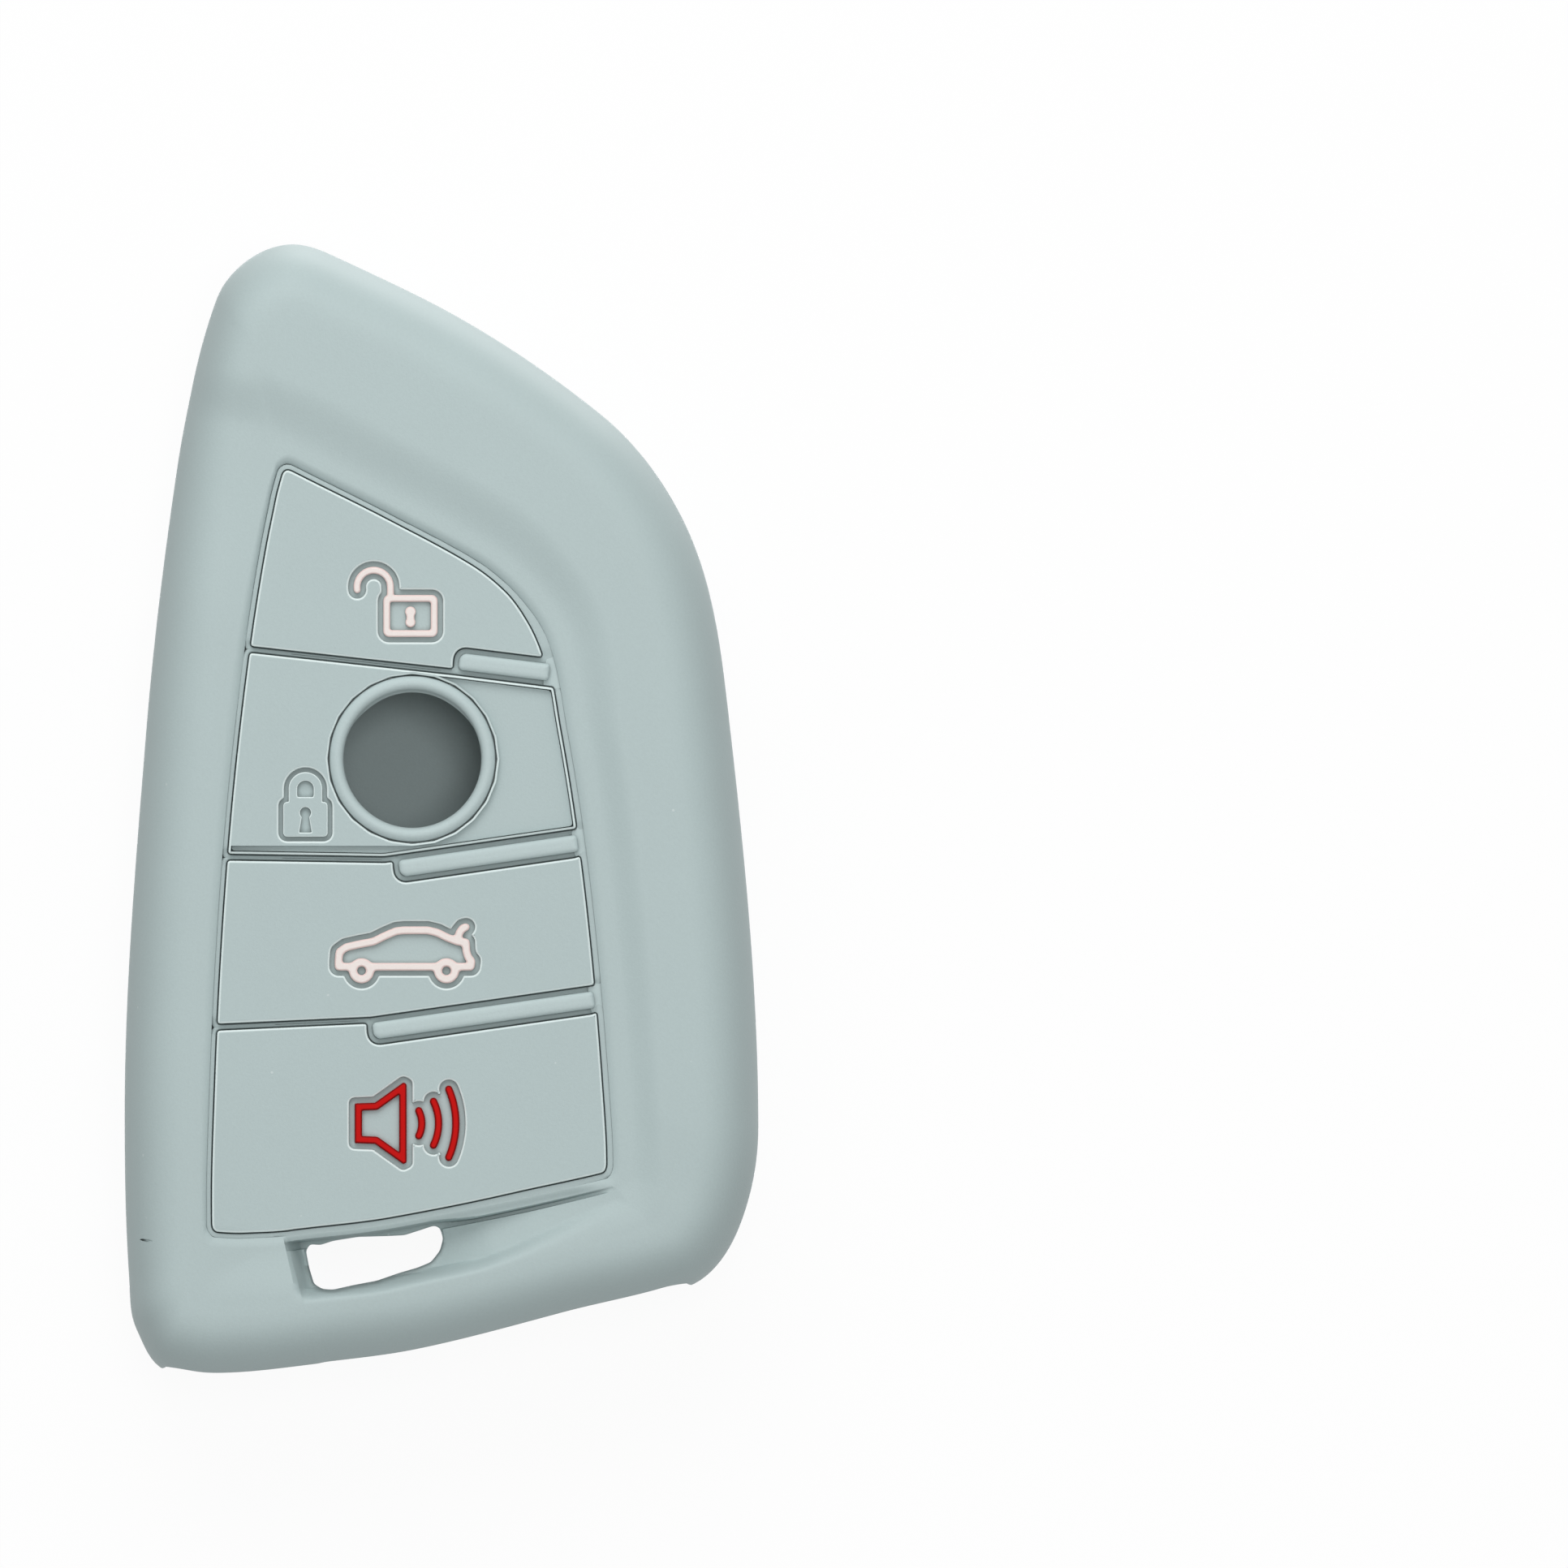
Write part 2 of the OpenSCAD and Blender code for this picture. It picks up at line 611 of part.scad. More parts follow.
module unlock_outline() {
    body_h = unlock_w * 0.774;
    shackle_r = unlock_w * 0.307;
    shackle = unlock_w * [-0.674, 0.533];
    difference() {
        rounded_box(unlock_w, body_h, unlock_w * 0.11);
        rounded_box(unlock_w - 2 * line_stroke, body_h - 2 * line_stroke, unlock_w * 0.03);
    }
    translate(shackle)
        arc_line(shackle_r, 0, 190, line_stroke);
    translate([shackle.x + shackle_r - line_stroke / 2, body_h / 2 - line_stroke / 2])
        square([line_stroke, shackle.y - body_h / 2 + line_stroke / 2]);
}

module keyhole_outline() {
    translate(unlock_w * [0, 0.075])
        circle(r = unlock_w * 0.1);
    translate(unlock_w * [0, -0.115])
        circle(r = unlock_w * 0.093);
    square(unlock_w * [0.11, 0.2], center = true);
}

module lock_outline(solid) {
    body_h = lock_w * 0.782;
    opening_r = lock_w * 0.183;
    difference() {
        union() {
            rounded_box(lock_w, body_h, lock_w * 0.09);
            translate([0, lock_shackle_y])
                circle(r = lock_shackle_r);
            translate([-lock_shackle_r, 0])
                square([2 * lock_shackle_r, lock_shackle_y]);
        }
        if (!solid) {
            translate([0, lock_shackle_y]) {
                circle(r = opening_r);
                translate([-opening_r, -lock_w * 0.18])
                    square([2 * opening_r, lock_w * 0.18]);
            }
            translate([0, lock_w * 0.148])
                circle(r = lock_w * 0.122);
            polygon(lock_w * [[-0.07, 0.1], [0.07, 0.1], [0.137, -0.294], [-0.137, -0.294]]);
        }
    }
}

car_body_shares = [
    [-0.5, -0.14], [-0.5, -0.098], [-0.494, -0.03], [-0.445, 0.006], [-0.341, 0.03],
    [-0.238, 0.049], [-0.152, 0.092], [-0.067, 0.128], [-0.012, 0.134], [0.171, 0.134],
    [0.244, 0.116], [0.317, 0.079], [0.396, 0.049], [0.458, 0.043], [0.46, -0.024],
    [0.476, -0.073], [0.5, -0.098], [0.494, -0.14],
];
car_lid_shares = [[0.396, 0.061], [0.418, 0.131], [0.445, 0.165], [0.463, 0.171]];
car_wheel_shares = [[-0.327, -0.17], [0.311, -0.17]];

module car_outline(solid) {
    difference() {
        union() {
            difference() {
                offset(r = car_stroke / 2)
                    polygon(car_l * car_body_shares);
                if (!solid)
                    offset(delta = -car_stroke / 2)
                        polygon(car_l * car_body_shares);
            }
            for (w = car_wheel_shares)
                translate(car_l * w)
                    circle(r = car_l * 0.0957);
            for (k = [0:len(car_lid_shares) - 2])
                hull()
                    for (p = [car_lid_shares[k], car_lid_shares[k + 1]])
                        translate(car_l * p)
                            circle(r = line_stroke / 2, $fn = 24);
        }
        if (!solid)
            for (w = car_wheel_shares)
                translate(car_l * w)
                    circle(r = car_l * 0.034);
    }
}

horn_shares = [
    [-0.317, 0.243], [-0.07, 0.252], [0.278, 0.5], [0.317, 0.48],
    [0.317, -0.48], [0.278, -0.5], [-0.07, -0.252], [-0.317, -0.243],
];

module horn_outline(solid) {
    difference() {
        polygon(horn_h * horn_shares);
        if (!solid)
            offset(delta = -line_stroke)
                polygon(horn_h * horn_shares);
    }
}

// The sound waves, near to far: radius, half angle in degrees and place of the middle
wave_shares = [[0.34, 26.9, 0.503], [0.605, 26.3, 0.708], [1.048, 23.4, 0.919]];

module wave_outline(k) {
    w = wave_shares[k];
    translate([horn_h * (w[2] - w[0]), 0])
        arc_line(horn_h * w[0], -w[1], w[1], line_stroke);
}

module fill(at, height) {
    translate([at.x, at.y, panel_z - pocket_d])
        linear_extrude(height)
            children();
}

module upper_accent_bar() { accent_bar(0); }
module middle_accent_bar() { accent_bar(1); }
module lower_accent_bar() { accent_bar(2); }

module unlock_web() { web(0); }
module lock_web() { web(1); }
module trunk_web() { web(2); }
module panic_web() { web(3); }

module unlock_button() {
    color(silicone)
        difference() {
            pad_body(0);
            fill(unlock_at, cover_t)
                offset(r = moat_w)
                    unlock_outline();
            fill(unlock_at, cover_t)
                square(unlock_w / 2, center = true);
        }
}

module unlock_padlock() {
    color(pale_fill)
        fill(unlock_at, fill_h)
            unlock_outline();
}

module unlock_keyhole() {
    color(pale_fill)
        fill(unlock_at, fill_h)
            keyhole_outline();
}

module lock_button() {
    color(silicone)
        difference() {
            pad_body(1);
            fill(lock_at, cover_t)
                offset(r = lock_moat_w)
                    lock_outline(true);
            translate([window_at.x, window_at.y, plate_z])
                cylinder(r = ring_r + ring_gap, h = cover_t);
            translate([window_at.x, window_at.y, under_z - over])
                cylinder(r = ring_foot_r + ring_gap, h = cover_t);
        }
}

// The ring hangs in the button by a shoulder, so that its foot stays clear of the web
module emblem_ring() {
    top = panel_z + ring_proud;
    soft = ring_w / 4;
    color(silicone)
        translate([window_at.x, window_at.y, 0])
            rotate_extrude()
                polygon([
                    [window_r, under_z], [ring_foot_r, under_z], [ring_foot_r, plate_z],
                    [ring_r, plate_z], [ring_r, top - soft], [ring_r - soft, top],
                    [window_r + soft, top], [window_r, top - soft],
                ]);
}

module lock_padlock() {
    color(silicone)
        fill(lock_at, pocket_d)
            lock_outline(false);
}

module trunk_button() {
    color(silicone)
        difference() {
            pad_body(2);
            fill(car_at, cover_t)
                offset(r = moat_w)
                    car_outline(true);
        }
}

module trunk_car() {
    color(pale_fill)
        fill(car_at, fill_h)
            car_outline(false);
}

module panic_button() {
    color(silicone)
        difference() {
            pad_body(3);
            fill(horn_at, cover_t)
                offset(r = moat_w) {
                    horn_outline(true);
                    for (k = [0:len(wave_shares) - 1])
                        wave_outline(k);
                }
        }
}

module horn() {
    color(red_fill)
        fill(horn_at, fill_h)
            horn_outline(false);
}

module sound_wave(k) {
    color(red_fill)
        fill(horn_at, fill_h)
            wave_outline(k);
}

module near_sound_wave() { sound_wave(0); }
module middle_sound_wave() { sound_wave(1); }
module far_sound_wave() { sound_wave(2); }

front_shell();
back_shell();
upper_accent_bar();
middle_accent_bar();
lower_accent_bar();
unlock_web();
lock_web();
trunk_web();
panic_web();
unlock_button();
unlock_padlock();
unlock_keyhole();
lock_button();
emblem_ring();
lock_padlock();
trunk_button();
trunk_car();
panic_button();
horn();
near_sound_wave();
middle_sound_wave();
far_sound_wave();
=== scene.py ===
import math

import bmesh
import bpy
import numpy as np
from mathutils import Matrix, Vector
from mathutils.bvhtree import BVHTree


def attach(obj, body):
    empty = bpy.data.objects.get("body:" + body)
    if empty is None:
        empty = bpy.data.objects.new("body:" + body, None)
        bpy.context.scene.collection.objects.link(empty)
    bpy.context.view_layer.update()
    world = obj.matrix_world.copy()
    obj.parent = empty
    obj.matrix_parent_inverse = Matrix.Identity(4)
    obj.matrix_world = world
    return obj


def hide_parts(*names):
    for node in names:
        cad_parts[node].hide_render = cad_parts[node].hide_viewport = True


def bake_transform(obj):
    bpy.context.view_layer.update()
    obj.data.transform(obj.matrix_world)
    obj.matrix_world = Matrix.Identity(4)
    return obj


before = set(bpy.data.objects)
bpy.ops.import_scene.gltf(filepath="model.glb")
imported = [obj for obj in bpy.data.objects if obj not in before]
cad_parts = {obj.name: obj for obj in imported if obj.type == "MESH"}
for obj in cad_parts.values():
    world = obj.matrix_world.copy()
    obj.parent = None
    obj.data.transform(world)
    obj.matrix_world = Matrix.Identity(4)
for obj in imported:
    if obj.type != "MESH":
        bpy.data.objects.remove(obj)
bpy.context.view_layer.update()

# The camera looks straight down on the buttons from far away, and the cover lies a
# little left of the middle of the picture. Sizes are in millimetres, and mm makes them
# metres.
mm = 0.001
view_x, view_y, view_z, view_w = 26.375, 1.94, 300, 120.75
bpy.ops.object.camera_add(location=(view_x * mm, view_y * mm, view_z * mm),
                          rotation=(0, 0, 0))
camera = bpy.context.object
camera.data.type = "ORTHO"
camera.data.ortho_scale = view_w * mm
camera.data.clip_start = 1 * mm
camera.data.clip_end = 3000 * mm
bpy.context.scene.camera = camera
bpy.context.scene.view_settings.view_transform = "Standard"


# The table is a plain white sheet. It shows only to the camera and in reflections, it
# takes the cover's shadow, and from below it isn't there, so that the back can be seen.
class Wire:
    """A number, colour or vector that a material works out at each point."""

    def __init__(self, tree, socket=None):
        self.tree, self.socket = tree, socket

    def node(self, kind, settings=None, inputs=None, out=0):
        """Adds a shader node, links or fills its inputs, and gives one of its outputs."""
        made = self.tree.nodes.new("ShaderNode" + kind)
        for name, value in (settings or {}).items():
            if name == "stops":
                ramp = made.color_ramp.elements
                while len(ramp) < len(value):
                    ramp.new(0.5)
                for stop, (place, shade) in zip(ramp, value):
                    stop.position, stop.color = place, (*shade, 1)
            else:
                setattr(made, name, value)
        for name, value in (inputs or {}).items():
            if isinstance(value, Wire):
                self.tree.links.new(value.socket, made.inputs[name])
            else:
                made.inputs[name].default_value = value
        return Wire(self.tree, made.outputs[out] if made.outputs else None)

    def maths(self, operation, other):
        return self.node("Math", {"operation": operation}, {0: self, 1: other})

    def __add__(self, other):
        return self.maths("ADD", other)

    def __mul__(self, other):
        return self.maths("MULTIPLY", other)

    def __sub__(self, other):
        return self.maths("SUBTRACT", other)

    def __rsub__(self, other):
        return self.maths("MULTIPLY", -1.0).maths("ADD", other)

    __radd__ = __add__
    __rmul__ = __mul__


def started(made):
    """Clears the nodes of a material or the world, for new ones."""
    made.use_nodes = True
    made.node_tree.nodes.clear()
    return Wire(made.node_tree)


def is_ray(start, *kinds):
    """1 for a ray of one of the kinds, and 0 for any other."""
    return sum(start.node("LightPath", out=k) for k in kinds).maths("MINIMUM", 1.0)


camera_ray, gloss_ray, clear_ray = 0, 3, 6
sheet_w, sheet_drop, sheet_pale, sheet_glow = 2400, 0.02, 0.93, 0.93
sheet_white = bpy.data.materials.new("white_sheet")
start = started(sheet_white)
back_side = start.node("NewGeometry", out=6)
lit = start.node("BsdfDiffuse", inputs={"Color": (*[sheet_pale] * 3, 1)})
bright = start.node("Emission", inputs={"Color": (1, 1, 1, 1), "Strength": 1.0})
shown = start.node("MixShader", inputs={0: sheet_glow, 1: lit, 2: bright})
gone = start.node("BsdfTransparent")
seen = is_ray(start, camera_ray, gloss_ray) * (1 - back_side)
surface = start.node("MixShader", inputs={0: seen, 1: gone, 2: shown})
start.node("OutputMaterial", inputs={"Surface": surface})
bpy.ops.mesh.primitive_plane_add(size=sheet_w * mm, location=(0, 0, -sheet_drop * mm))
sheet = bpy.context.object
sheet.name = "white_sheet"
sheet.data.materials.append(sheet_white)

# The light is that of a photographer's table: one large soft lamp beyond the tip, a
# smaller one high above the camera, which reaches into the window, the same two for the
# back, which shine through the table, and a pale room all round.
room_glow = 0.45
room = bpy.data.worlds.new("pale_room")
bpy.context.scene.world = room
start = started(room)
seen = is_ray(start, camera_ray, gloss_ray, clear_ray)
glow = start.node("Background", inputs={"Color": (1, 1, 1, 1), "Strength": room_glow})
white = start.node("Background", inputs={"Color": (1, 1, 1, 1), "Strength": 1.0})
surface = start.node("MixShader", inputs={0: seen, 1: glow, 2: white})
start.node("OutputWorld", inputs={"Surface": surface})
for lamp_name, away, size, power in [
        ("tip_lamp", (-50, 420, 380), 380, 1.5), ("front_lamp", (75, 60, 900), 250, 1.9),
        ("back_tip_lamp", (120, 420, -380), 380, 1.5), ("back_lamp", (0, 60, -900), 250, 1.9)]:
    bpy.ops.object.light_add(type="AREA", location=Vector(away) * mm)
    lamp = bpy.context.object
    lamp.name = lamp_name
    lamp.data.size = size * mm
    lamp.data.energy = power
    lamp.rotation_euler = (-Vector(away)).to_track_quat("-Z", "Y").to_euler()

# The skin: one soft silicone moulding, 1.5 mm thick all over, with a rounded edge, a raised
# rim round the sunk button panel, a scoop on both faces for the key ring, and a shallow
# panel in its back. Its outline leans to one side, as the fob's does. It is drawn out ring
# by ring from the back panel, over the edge to the panel's frame, and back inside.
long, wide, thick, wall = 87.0, 48.8, 18.0, 1.5
middle, panel_z = thick / 2, 17.2
edge_w, edge_power, inner_edge_w = 5.0, 2.4, 3.875
lip_w, lip_drop, gutter_z = 0.8, 0.24, 16.93
ledge_z, under_z, ledge_w = 15.82, 15.4, 0.58
band_foot, band_top, rim_rise = 1.5, 4.5, 0.8
crease_x, crease_lean, crease_w, crease_rise = -12.74, 0.043, 5.5, 0.48
left_slope_y, left_slope_lean, left_slope_w = 29.4, 0.16, 4.3
crease_soft, crease_end, crease_fade = 0.6, 0.8, 0.2
tip_from, tip_run, face_lean = 13, 14, 2.2
scoop_wrap, panel_deep, wall_top, wall_foot = 0.9, 0.5, 0.42, 0.64
scoop_left, scoop_left_run = -0.252, 0.027
scoop_from, scoop_to, scoop_wall_at = 8, 12, 11
scoop_end_w, sill_drop, sill_more, blunt_deep = 1.05, 0.32, 0.3, 0.3
scoop_depths = [(-1, 3.2), (1, 2.5), (3, 1.7), (6, 1.1), (9, 0.6), (12.8, 0)]
scoop_ends = [(-6, 5.35), (-1, 5.1), (3, 5.05), (6, 4.7), (9, 4.1), (12.8, 3.4)]

# Outline, frame of the button panel and the slope round it, at the same 22 places, with
# headings in degrees; then the back's rim and its panel's slope.
outline_shares = np.array([
    [-0.235, 0.500, 0], [-0.156, 0.486, -25], [0.037, 0.432, -30], [0.252, 0.349, -39],
    [0.383, 0.254, -64], [0.456, 0.069, -83.5], [0.500, -0.282, -90], [0.469, -0.371, -112],
    [0.389, -0.4225, -160], [0.195, -0.451, -165], [-0.039, -0.484, -168.5],
    [-0.178, -0.495, -173], [-0.197, -0.497, -173], [-0.357, -0.505, -180],
    [-0.436, -0.4965, 157], [-0.4815, -0.460, 115], [-0.493, -0.414, 94],
    [-0.500, -0.270, 90], [-0.466, 0.069, 85.4], [-0.416, 0.306, 81.5],
    [-0.393, 0.375, 78.5], [-0.3545, 0.452, 69.5]])
frame_shares = np.array([
    [-0.247, 0.305, 20], [-0.231, 0.303, -27], [-0.082, 0.261, -27.5], [0.052, 0.221, -31],
    [0.148, 0.170, -55], [0.199, 0.069, -79.5], [0.2655, -0.253, -86], [0.271, -0.315, -90],
    [0.258, -0.3275, -166], [0.133, -0.343, -168], [-0.072, -0.3655, -169.5],
    [-0.227, -0.3765, -173], [-0.246, -0.378, -174], [-0.311, -0.380, -177],
    [-0.358, -0.379, 176], [-0.369, -0.373, 120], [-0.371, -0.364, 91],
    [-0.367, -0.253, 88], [-0.327, 0.069, 83.5], [-0.284, 0.236, 79.5],
    [-0.270, 0.275, 79], [-0.259, 0.2985, 74]])
slope_shares = np.array([
    [1.2, 1.45, 1], [1, 1.38, 1], [1, 1.27, 1], [1, 1.22, 1], [1.05, 1.1, 1],
    [0.95, 0.93, 1], [1.05, 0.93, 0.95], [1, 0.95, 0.7], [0.55, 1, 0.55], [0.5, 1.05, 0.55],
    [0.5, 1.05, 0.55], [0.5, 1.05, 0.55], [0.5, 1.05, 0.55], [0.5, 1.05, 0.5],
    [0.5, 1.1, 0.3], [0.5, 1.1, 0.2], [0.5, 1.1, 0.1], [0.5, 1.1, 0], [0.5, 1.1, 0],
    [4, 2.8, 1], [2.9, 2.4, 1], [1.6, 2, 1]])
rim_shares = np.array([
    [-0.252, 0.386], [-0.184, 0.368], [-0.031, 0.322], [0.135, 0.274], [0.250, 0.202],
    [0.316, 0.080], [0.355, -0.218], [0.357, -0.285], [0.279, -0.329], [0.133, -0.345],
    [-0.072, -0.367], [-0.227, -0.3775], [-0.246, -0.379], [-0.299, -0.372],
    [-0.328, -0.351], [-0.334, -0.328], [-0.336, -0.293], [-0.334, -0.218],
    [-0.311, 0.069], [-0.289, 0.253], [-0.279, 0.316], [-0.270, 0.362]])
slope_top_shares = np.array([
    [-0.248, 0.364], [-0.197, 0.348], [-0.045, 0.303], [0.113, 0.256], [0.223, 0.194],
    [0.279, 0.086], [0.326, -0.230], [0.332, -0.272], [0.305, -0.283], [0.154, -0.292],
    [-0.031, -0.303], [-0.127, -0.311], [-0.143, -0.313], [-0.211, -0.309],
    [-0.246, -0.293], [-0.260, -0.276], [-0.268, -0.241], [-0.277, -0.184],
    [-0.266, 0.057], [-0.254, 0.241], [-0.250, 0.305], [-0.248, 0.345]])
slope_foot_shares = np.array([
    [-0.221, 0.298], [-0.189, 0.287], [-0.074, 0.257], [0.066, 0.220], [0.168, 0.174],
    [0.223, 0.084], [0.295, -0.201], [0.299, -0.231], [0.273, -0.232], [0.143, -0.236],
    [-0.020, -0.241], [-0.102, -0.244], [-0.115, -0.244], [-0.148, -0.237],
    [-0.168, -0.225], [-0.180, -0.214], [-0.186, -0.198], [-0.189, -0.161],
    [-0.205, 0.057], [-0.215, 0.224], [-0.219, 0.268], [-0.221, 0.287]])
places = len(outline_shares)
scale = np.array([wide, long])


def ease(u):
    c = np.clip(u, 0, 1)
    return c * c * (3 - 2 * c)


def length(v):
    return np.linalg.norm(v, axis=-1)


def unit(v):
    return v / length(v)[..., None]


def between(p, a, q, b, u):
    u = u[:, None]
    return (p * (1 + 2 * u) * (1 - u) ** 2 + a * u * (1 - u) ** 2
            + q * u * u * (3 - 2 * u) - b * u * u * (1 - u))


def curve(table, i, u):
    """A smooth line through a table of places and headings."""
    here, there = table[i], table[(i + 1) % places]
    p, q = here[:, :2] * scale, there[:, :2] * scale
    reach = length(q - p)[:, None]
    a, b = (reach * np.c_[np.cos(t), np.sin(t)]
            for t in (np.radians(here[:, 2]), np.radians(there[:, 2])))
    return between(p, a, q, b, u)


def spline(table, i, u):
    """The same through places alone, which doesn't turn back on a short stretch."""
    at = [table[(i + k) % places] * scale for k in (-1, 0, 1, 2)]
    reach = 1.5 * length(at[2] - at[1])
    a, b = (way * np.minimum(1, reach / length(way))[:, None]
            for way in ((at[2] - at[0]) / 2, (at[3] - at[1]) / 2))
    return between(at[1], a, at[2], b, u)


def stations(spacing, fewest, at_scoop_wall):
    """Stops along the outline, closer where the scoop's left wall drops."""
    spans = length(np.roll(outline_shares[:, :2], -1, 0) * scale
                   - outline_shares[:, :2] * scale)
    steps = np.maximum(np.ceil(spans / spacing).astype(int), fewest)
    steps[scoop_wall_at] = max(steps[scoop_wall_at], at_scoop_wall)
    return (np.concatenate([np.full(s, k) for k, s in enumerate(steps)]),
            np.concatenate([np.arange(s) / s for s in steps]))


def crease(x, y):
    """The panel rises towards its left side, past a soft bend, but not near the tip."""
    run = crease_x + crease_lean * y - x
    soft, end, fade = crease_soft, crease_end, crease_fade
    bent = np.where(run < soft, np.maximum(run + soft, 0) ** 2 / (4 * soft), run) / crease_w
    bent = np.where(bent > end, end + fade * np.tanh((bent - end) / fade), bent)
    return crease_rise * bent * (1 - ease((y - tip_from) / tip_run))


def square_to_outline(i, u):
    along = curve(outline_shares, i, u + 0.01) - curve(outline_shares, i, u - 0.01)
    return unit(np.c_[along[:, 1], -along[:, 0]])


i, u = stations(spacing=0.55, fewest=8, at_scoop_wall=16)
count = len(i)
here = curve(outline_shares, i, u)
square = square_to_outline(i, u)
panel_edge = curve(frame_shares, i, u)
rim = spline(rim_shares, i, u)
slope_top = spline(slope_top_shares, i, u)
slope_foot = spline(slope_foot_shares, i, u)
lean = ease(u)[:, None]
foot, top, rise = (slope_shares[i] * (1 - lean) + slope_shares[(i + 1) % places] * lean).T
foot, top = foot * band_foot, top * band_top


def by_scoop(i):
    return (i >= scoop_from) & (i <= scoop_to)


def scoop_depth(x, grow):
    deep = ease((x / wide - scoop_left + grow / wide) / scoop_left_run)
    deep = deep * np.interp(x, *zip(*scoop_depths))
    return np.where(by_scoop(i), deep, 0)


def scoop_shift(x):
    return 0.3 * ease((x + 1) / 4)


def scooped(start, way, e, deep, grow=0):
    """A ring's place, and how far the scoop lowers it: steeply past the panel's frame."""
    at = start + way * np.broadcast_to(e, len(start))[:, None]
    x = at[:, 0]
    shift = scoop_shift(x)
    end = np.interp(x, *zip(*scoop_ends)) + grow
    rise_at = end - scoop_end_w - 0.3 * ease((x - 3) / 5) - grow / 2
    return at, (deep * ease((e - wall_top - shift + grow) / (wall_foot - wall_top))
                * (1 - np.clip((e - rise_at) / (end - rise_at), 0, 1)) ** 2)


def ring(xy, z):
    return np.c_[xy, np.broadcast_to(z, len(xy))]


def edge_rings(way, start, width, top_z, steps):
    """The rounded edge from the parting plane to its crest."""
    made = []
    for t in np.linspace(0, 1, steps):
        share = 1 - math.cos(t * math.pi / 2) ** (2 / edge_power)
        height = math.sin(t * math.pi / 2) ** (2 / edge_power)
        at = here + way * (start + width * share)
        made.append(ring(at, middle + (top_z(at, width * (1 - share)) - middle) * height))
    return made


def stops(start, end, steps):
    """Even steps from one distance to another, without the first."""
    return [start + (end - start) * k / steps for k in range(1, steps + 1)]


def face_rings(edge, out, distances, deep, height, side, grow=0):
    """Rings across a face, from its panel's edge outward, with the scoop sunk into it."""
    made = []
    for e in distances:
        at, low = scooped(edge, out, e, deep, grow)
        made.append(ring(at, height(at, e) + side * low))
    return made


def face(target, crest_in):
    """The ways in from the outline and out from a panel's edge, and the span between."""
    way = unit(square + face_lean * unit(target - here))
    crest = here + way * crest_in
    span = length(crest - target)
    return way, unit(crest - target), span


def front_z(at, e):
    """The front's height at a distance from the button panel's edge."""
    x, y = at.T
    up = rise * ease((e - foot) / (top - foot))
    left = ease((y - left_slope_y + left_slope_lean * (x + 15)) / left_slope_w)
    at_left = ease((-11 - x) / 5) * ease((y - 12) / 6)
    up = rim_rise * (up + (left - up) * at_left)
    return panel_z + (up ** 4 + crease(x, y) ** 4) ** 0.25


way, out, span = face(panel_edge, edge_w)
top_out = np.minimum(top, span * 0.9)
foot_out = np.minimum(foot, span * 0.45)
depth = scoop_depth(panel_edge[:, 0], 0)
steep_end = 1.15
steep = [wall_top + 0.03 * k for k in range(20)] + [steep_end]


def front_lip_z(at, e):
    lip = lip_drop * (1 + 0.8 * np.maximum(out[:, 1], 0)) * max(1 - e / lip_w, 0) ** 2.2
    drop = lip + (sill_drop + sill_more * ease(e / 0.8) - lip) * ease(depth / 0.5)
    return front_z(at, e) - drop


front = face_rings(panel_edge, out, [0, 0.05, 0.1, 0.15, 0.2, 0.27, 0.34] + steep, depth,
                   front_lip_z, -1)
start_e = np.full(count, steep_end)
foot_e = np.maximum(foot_out, steep_end + 0.15)
front += face_rings(panel_edge, out, stops(start_e, foot_e, 3) + stops(foot_e, top_out, 22)
                    + stops(top_out, span, 5), depth, front_z, -1)
front_edge = edge_rings(way, 0, edge_w, lambda at, left: front_z(at, span + left), 16)

way_in, out_in, span_in = face(panel_edge, wall + inner_edge_w)
depth_in = scoop_depth(panel_edge[:, 0], scoop_wrap)
inner_start = [-wall_foot, -wall_foot / 2, wall_top]


def inner_front_z(at, e):
    mix = ease((e - wall_top) / wall)
    return under_z * (1 - mix) + (front_z(at, e) - wall) * mix


inner_front = face_rings(panel_edge, out_in, inner_start + stops(wall_top, span_in, 12),
                         depth_in, inner_front_z, -1, scoop_wrap)
inner_front_edge = edge_rings(way_in, wall, inner_edge_w,
                              lambda at, left: front_z(at, span_in + left) - wall, 9)

# The back's scoop starts with a soft roll, and more bluntly at its right end.
way_back, out_back, span_back = face(rim, edge_w)
depth_back = scoop_depth(rim[:, 0], 0)
blunt = blunt_deep * ease((13.4 - rim[:, 0]) / 1.2) * ease((rim[:, 0] - 7) / 3)
depth_back = np.where(by_scoop(i), np.maximum(depth_back, blunt), 0)
roll_out, roll_in, roll_deep = 1.1, 1.4, 0.5
wall_start = wall_top + scoop_shift(rim[:, 0])


def rolled(e):
    """How far the roll sinks the back beside the scoop's wall."""
    sunk = roll_deep * np.clip((e + roll_out) / (roll_out + wall_start), 0, 1) ** 2
    return sunk * ease(depth_back / 0.5) * (1 - ease((e - wall_start - 0.25) / roll_in))


back_edge = edge_rings(way_back, 0, edge_w, lambda at, left: 0, 16)
back = face_rings(rim, out_back, [0, 0.12, 0.22, 0.32] + steep
                  + stops(steep_end, span_back, 18), depth_back, lambda at, e: rolled(e), 1)
slope = [ring(slope_foot + (slope_top - slope_foot) * k / 9, panel_deep * (1 - ease(k / 9)))
         for k in range(10)]
to_panel = length(slope_top - rim)
for away in (1.2, 0.9, 0.6, 0.3):
    share = np.minimum(away / to_panel, 0.7 * away)[:, None]
    slope.append(ring(rim + (slope_top - rim) * share, rolled(-away)))

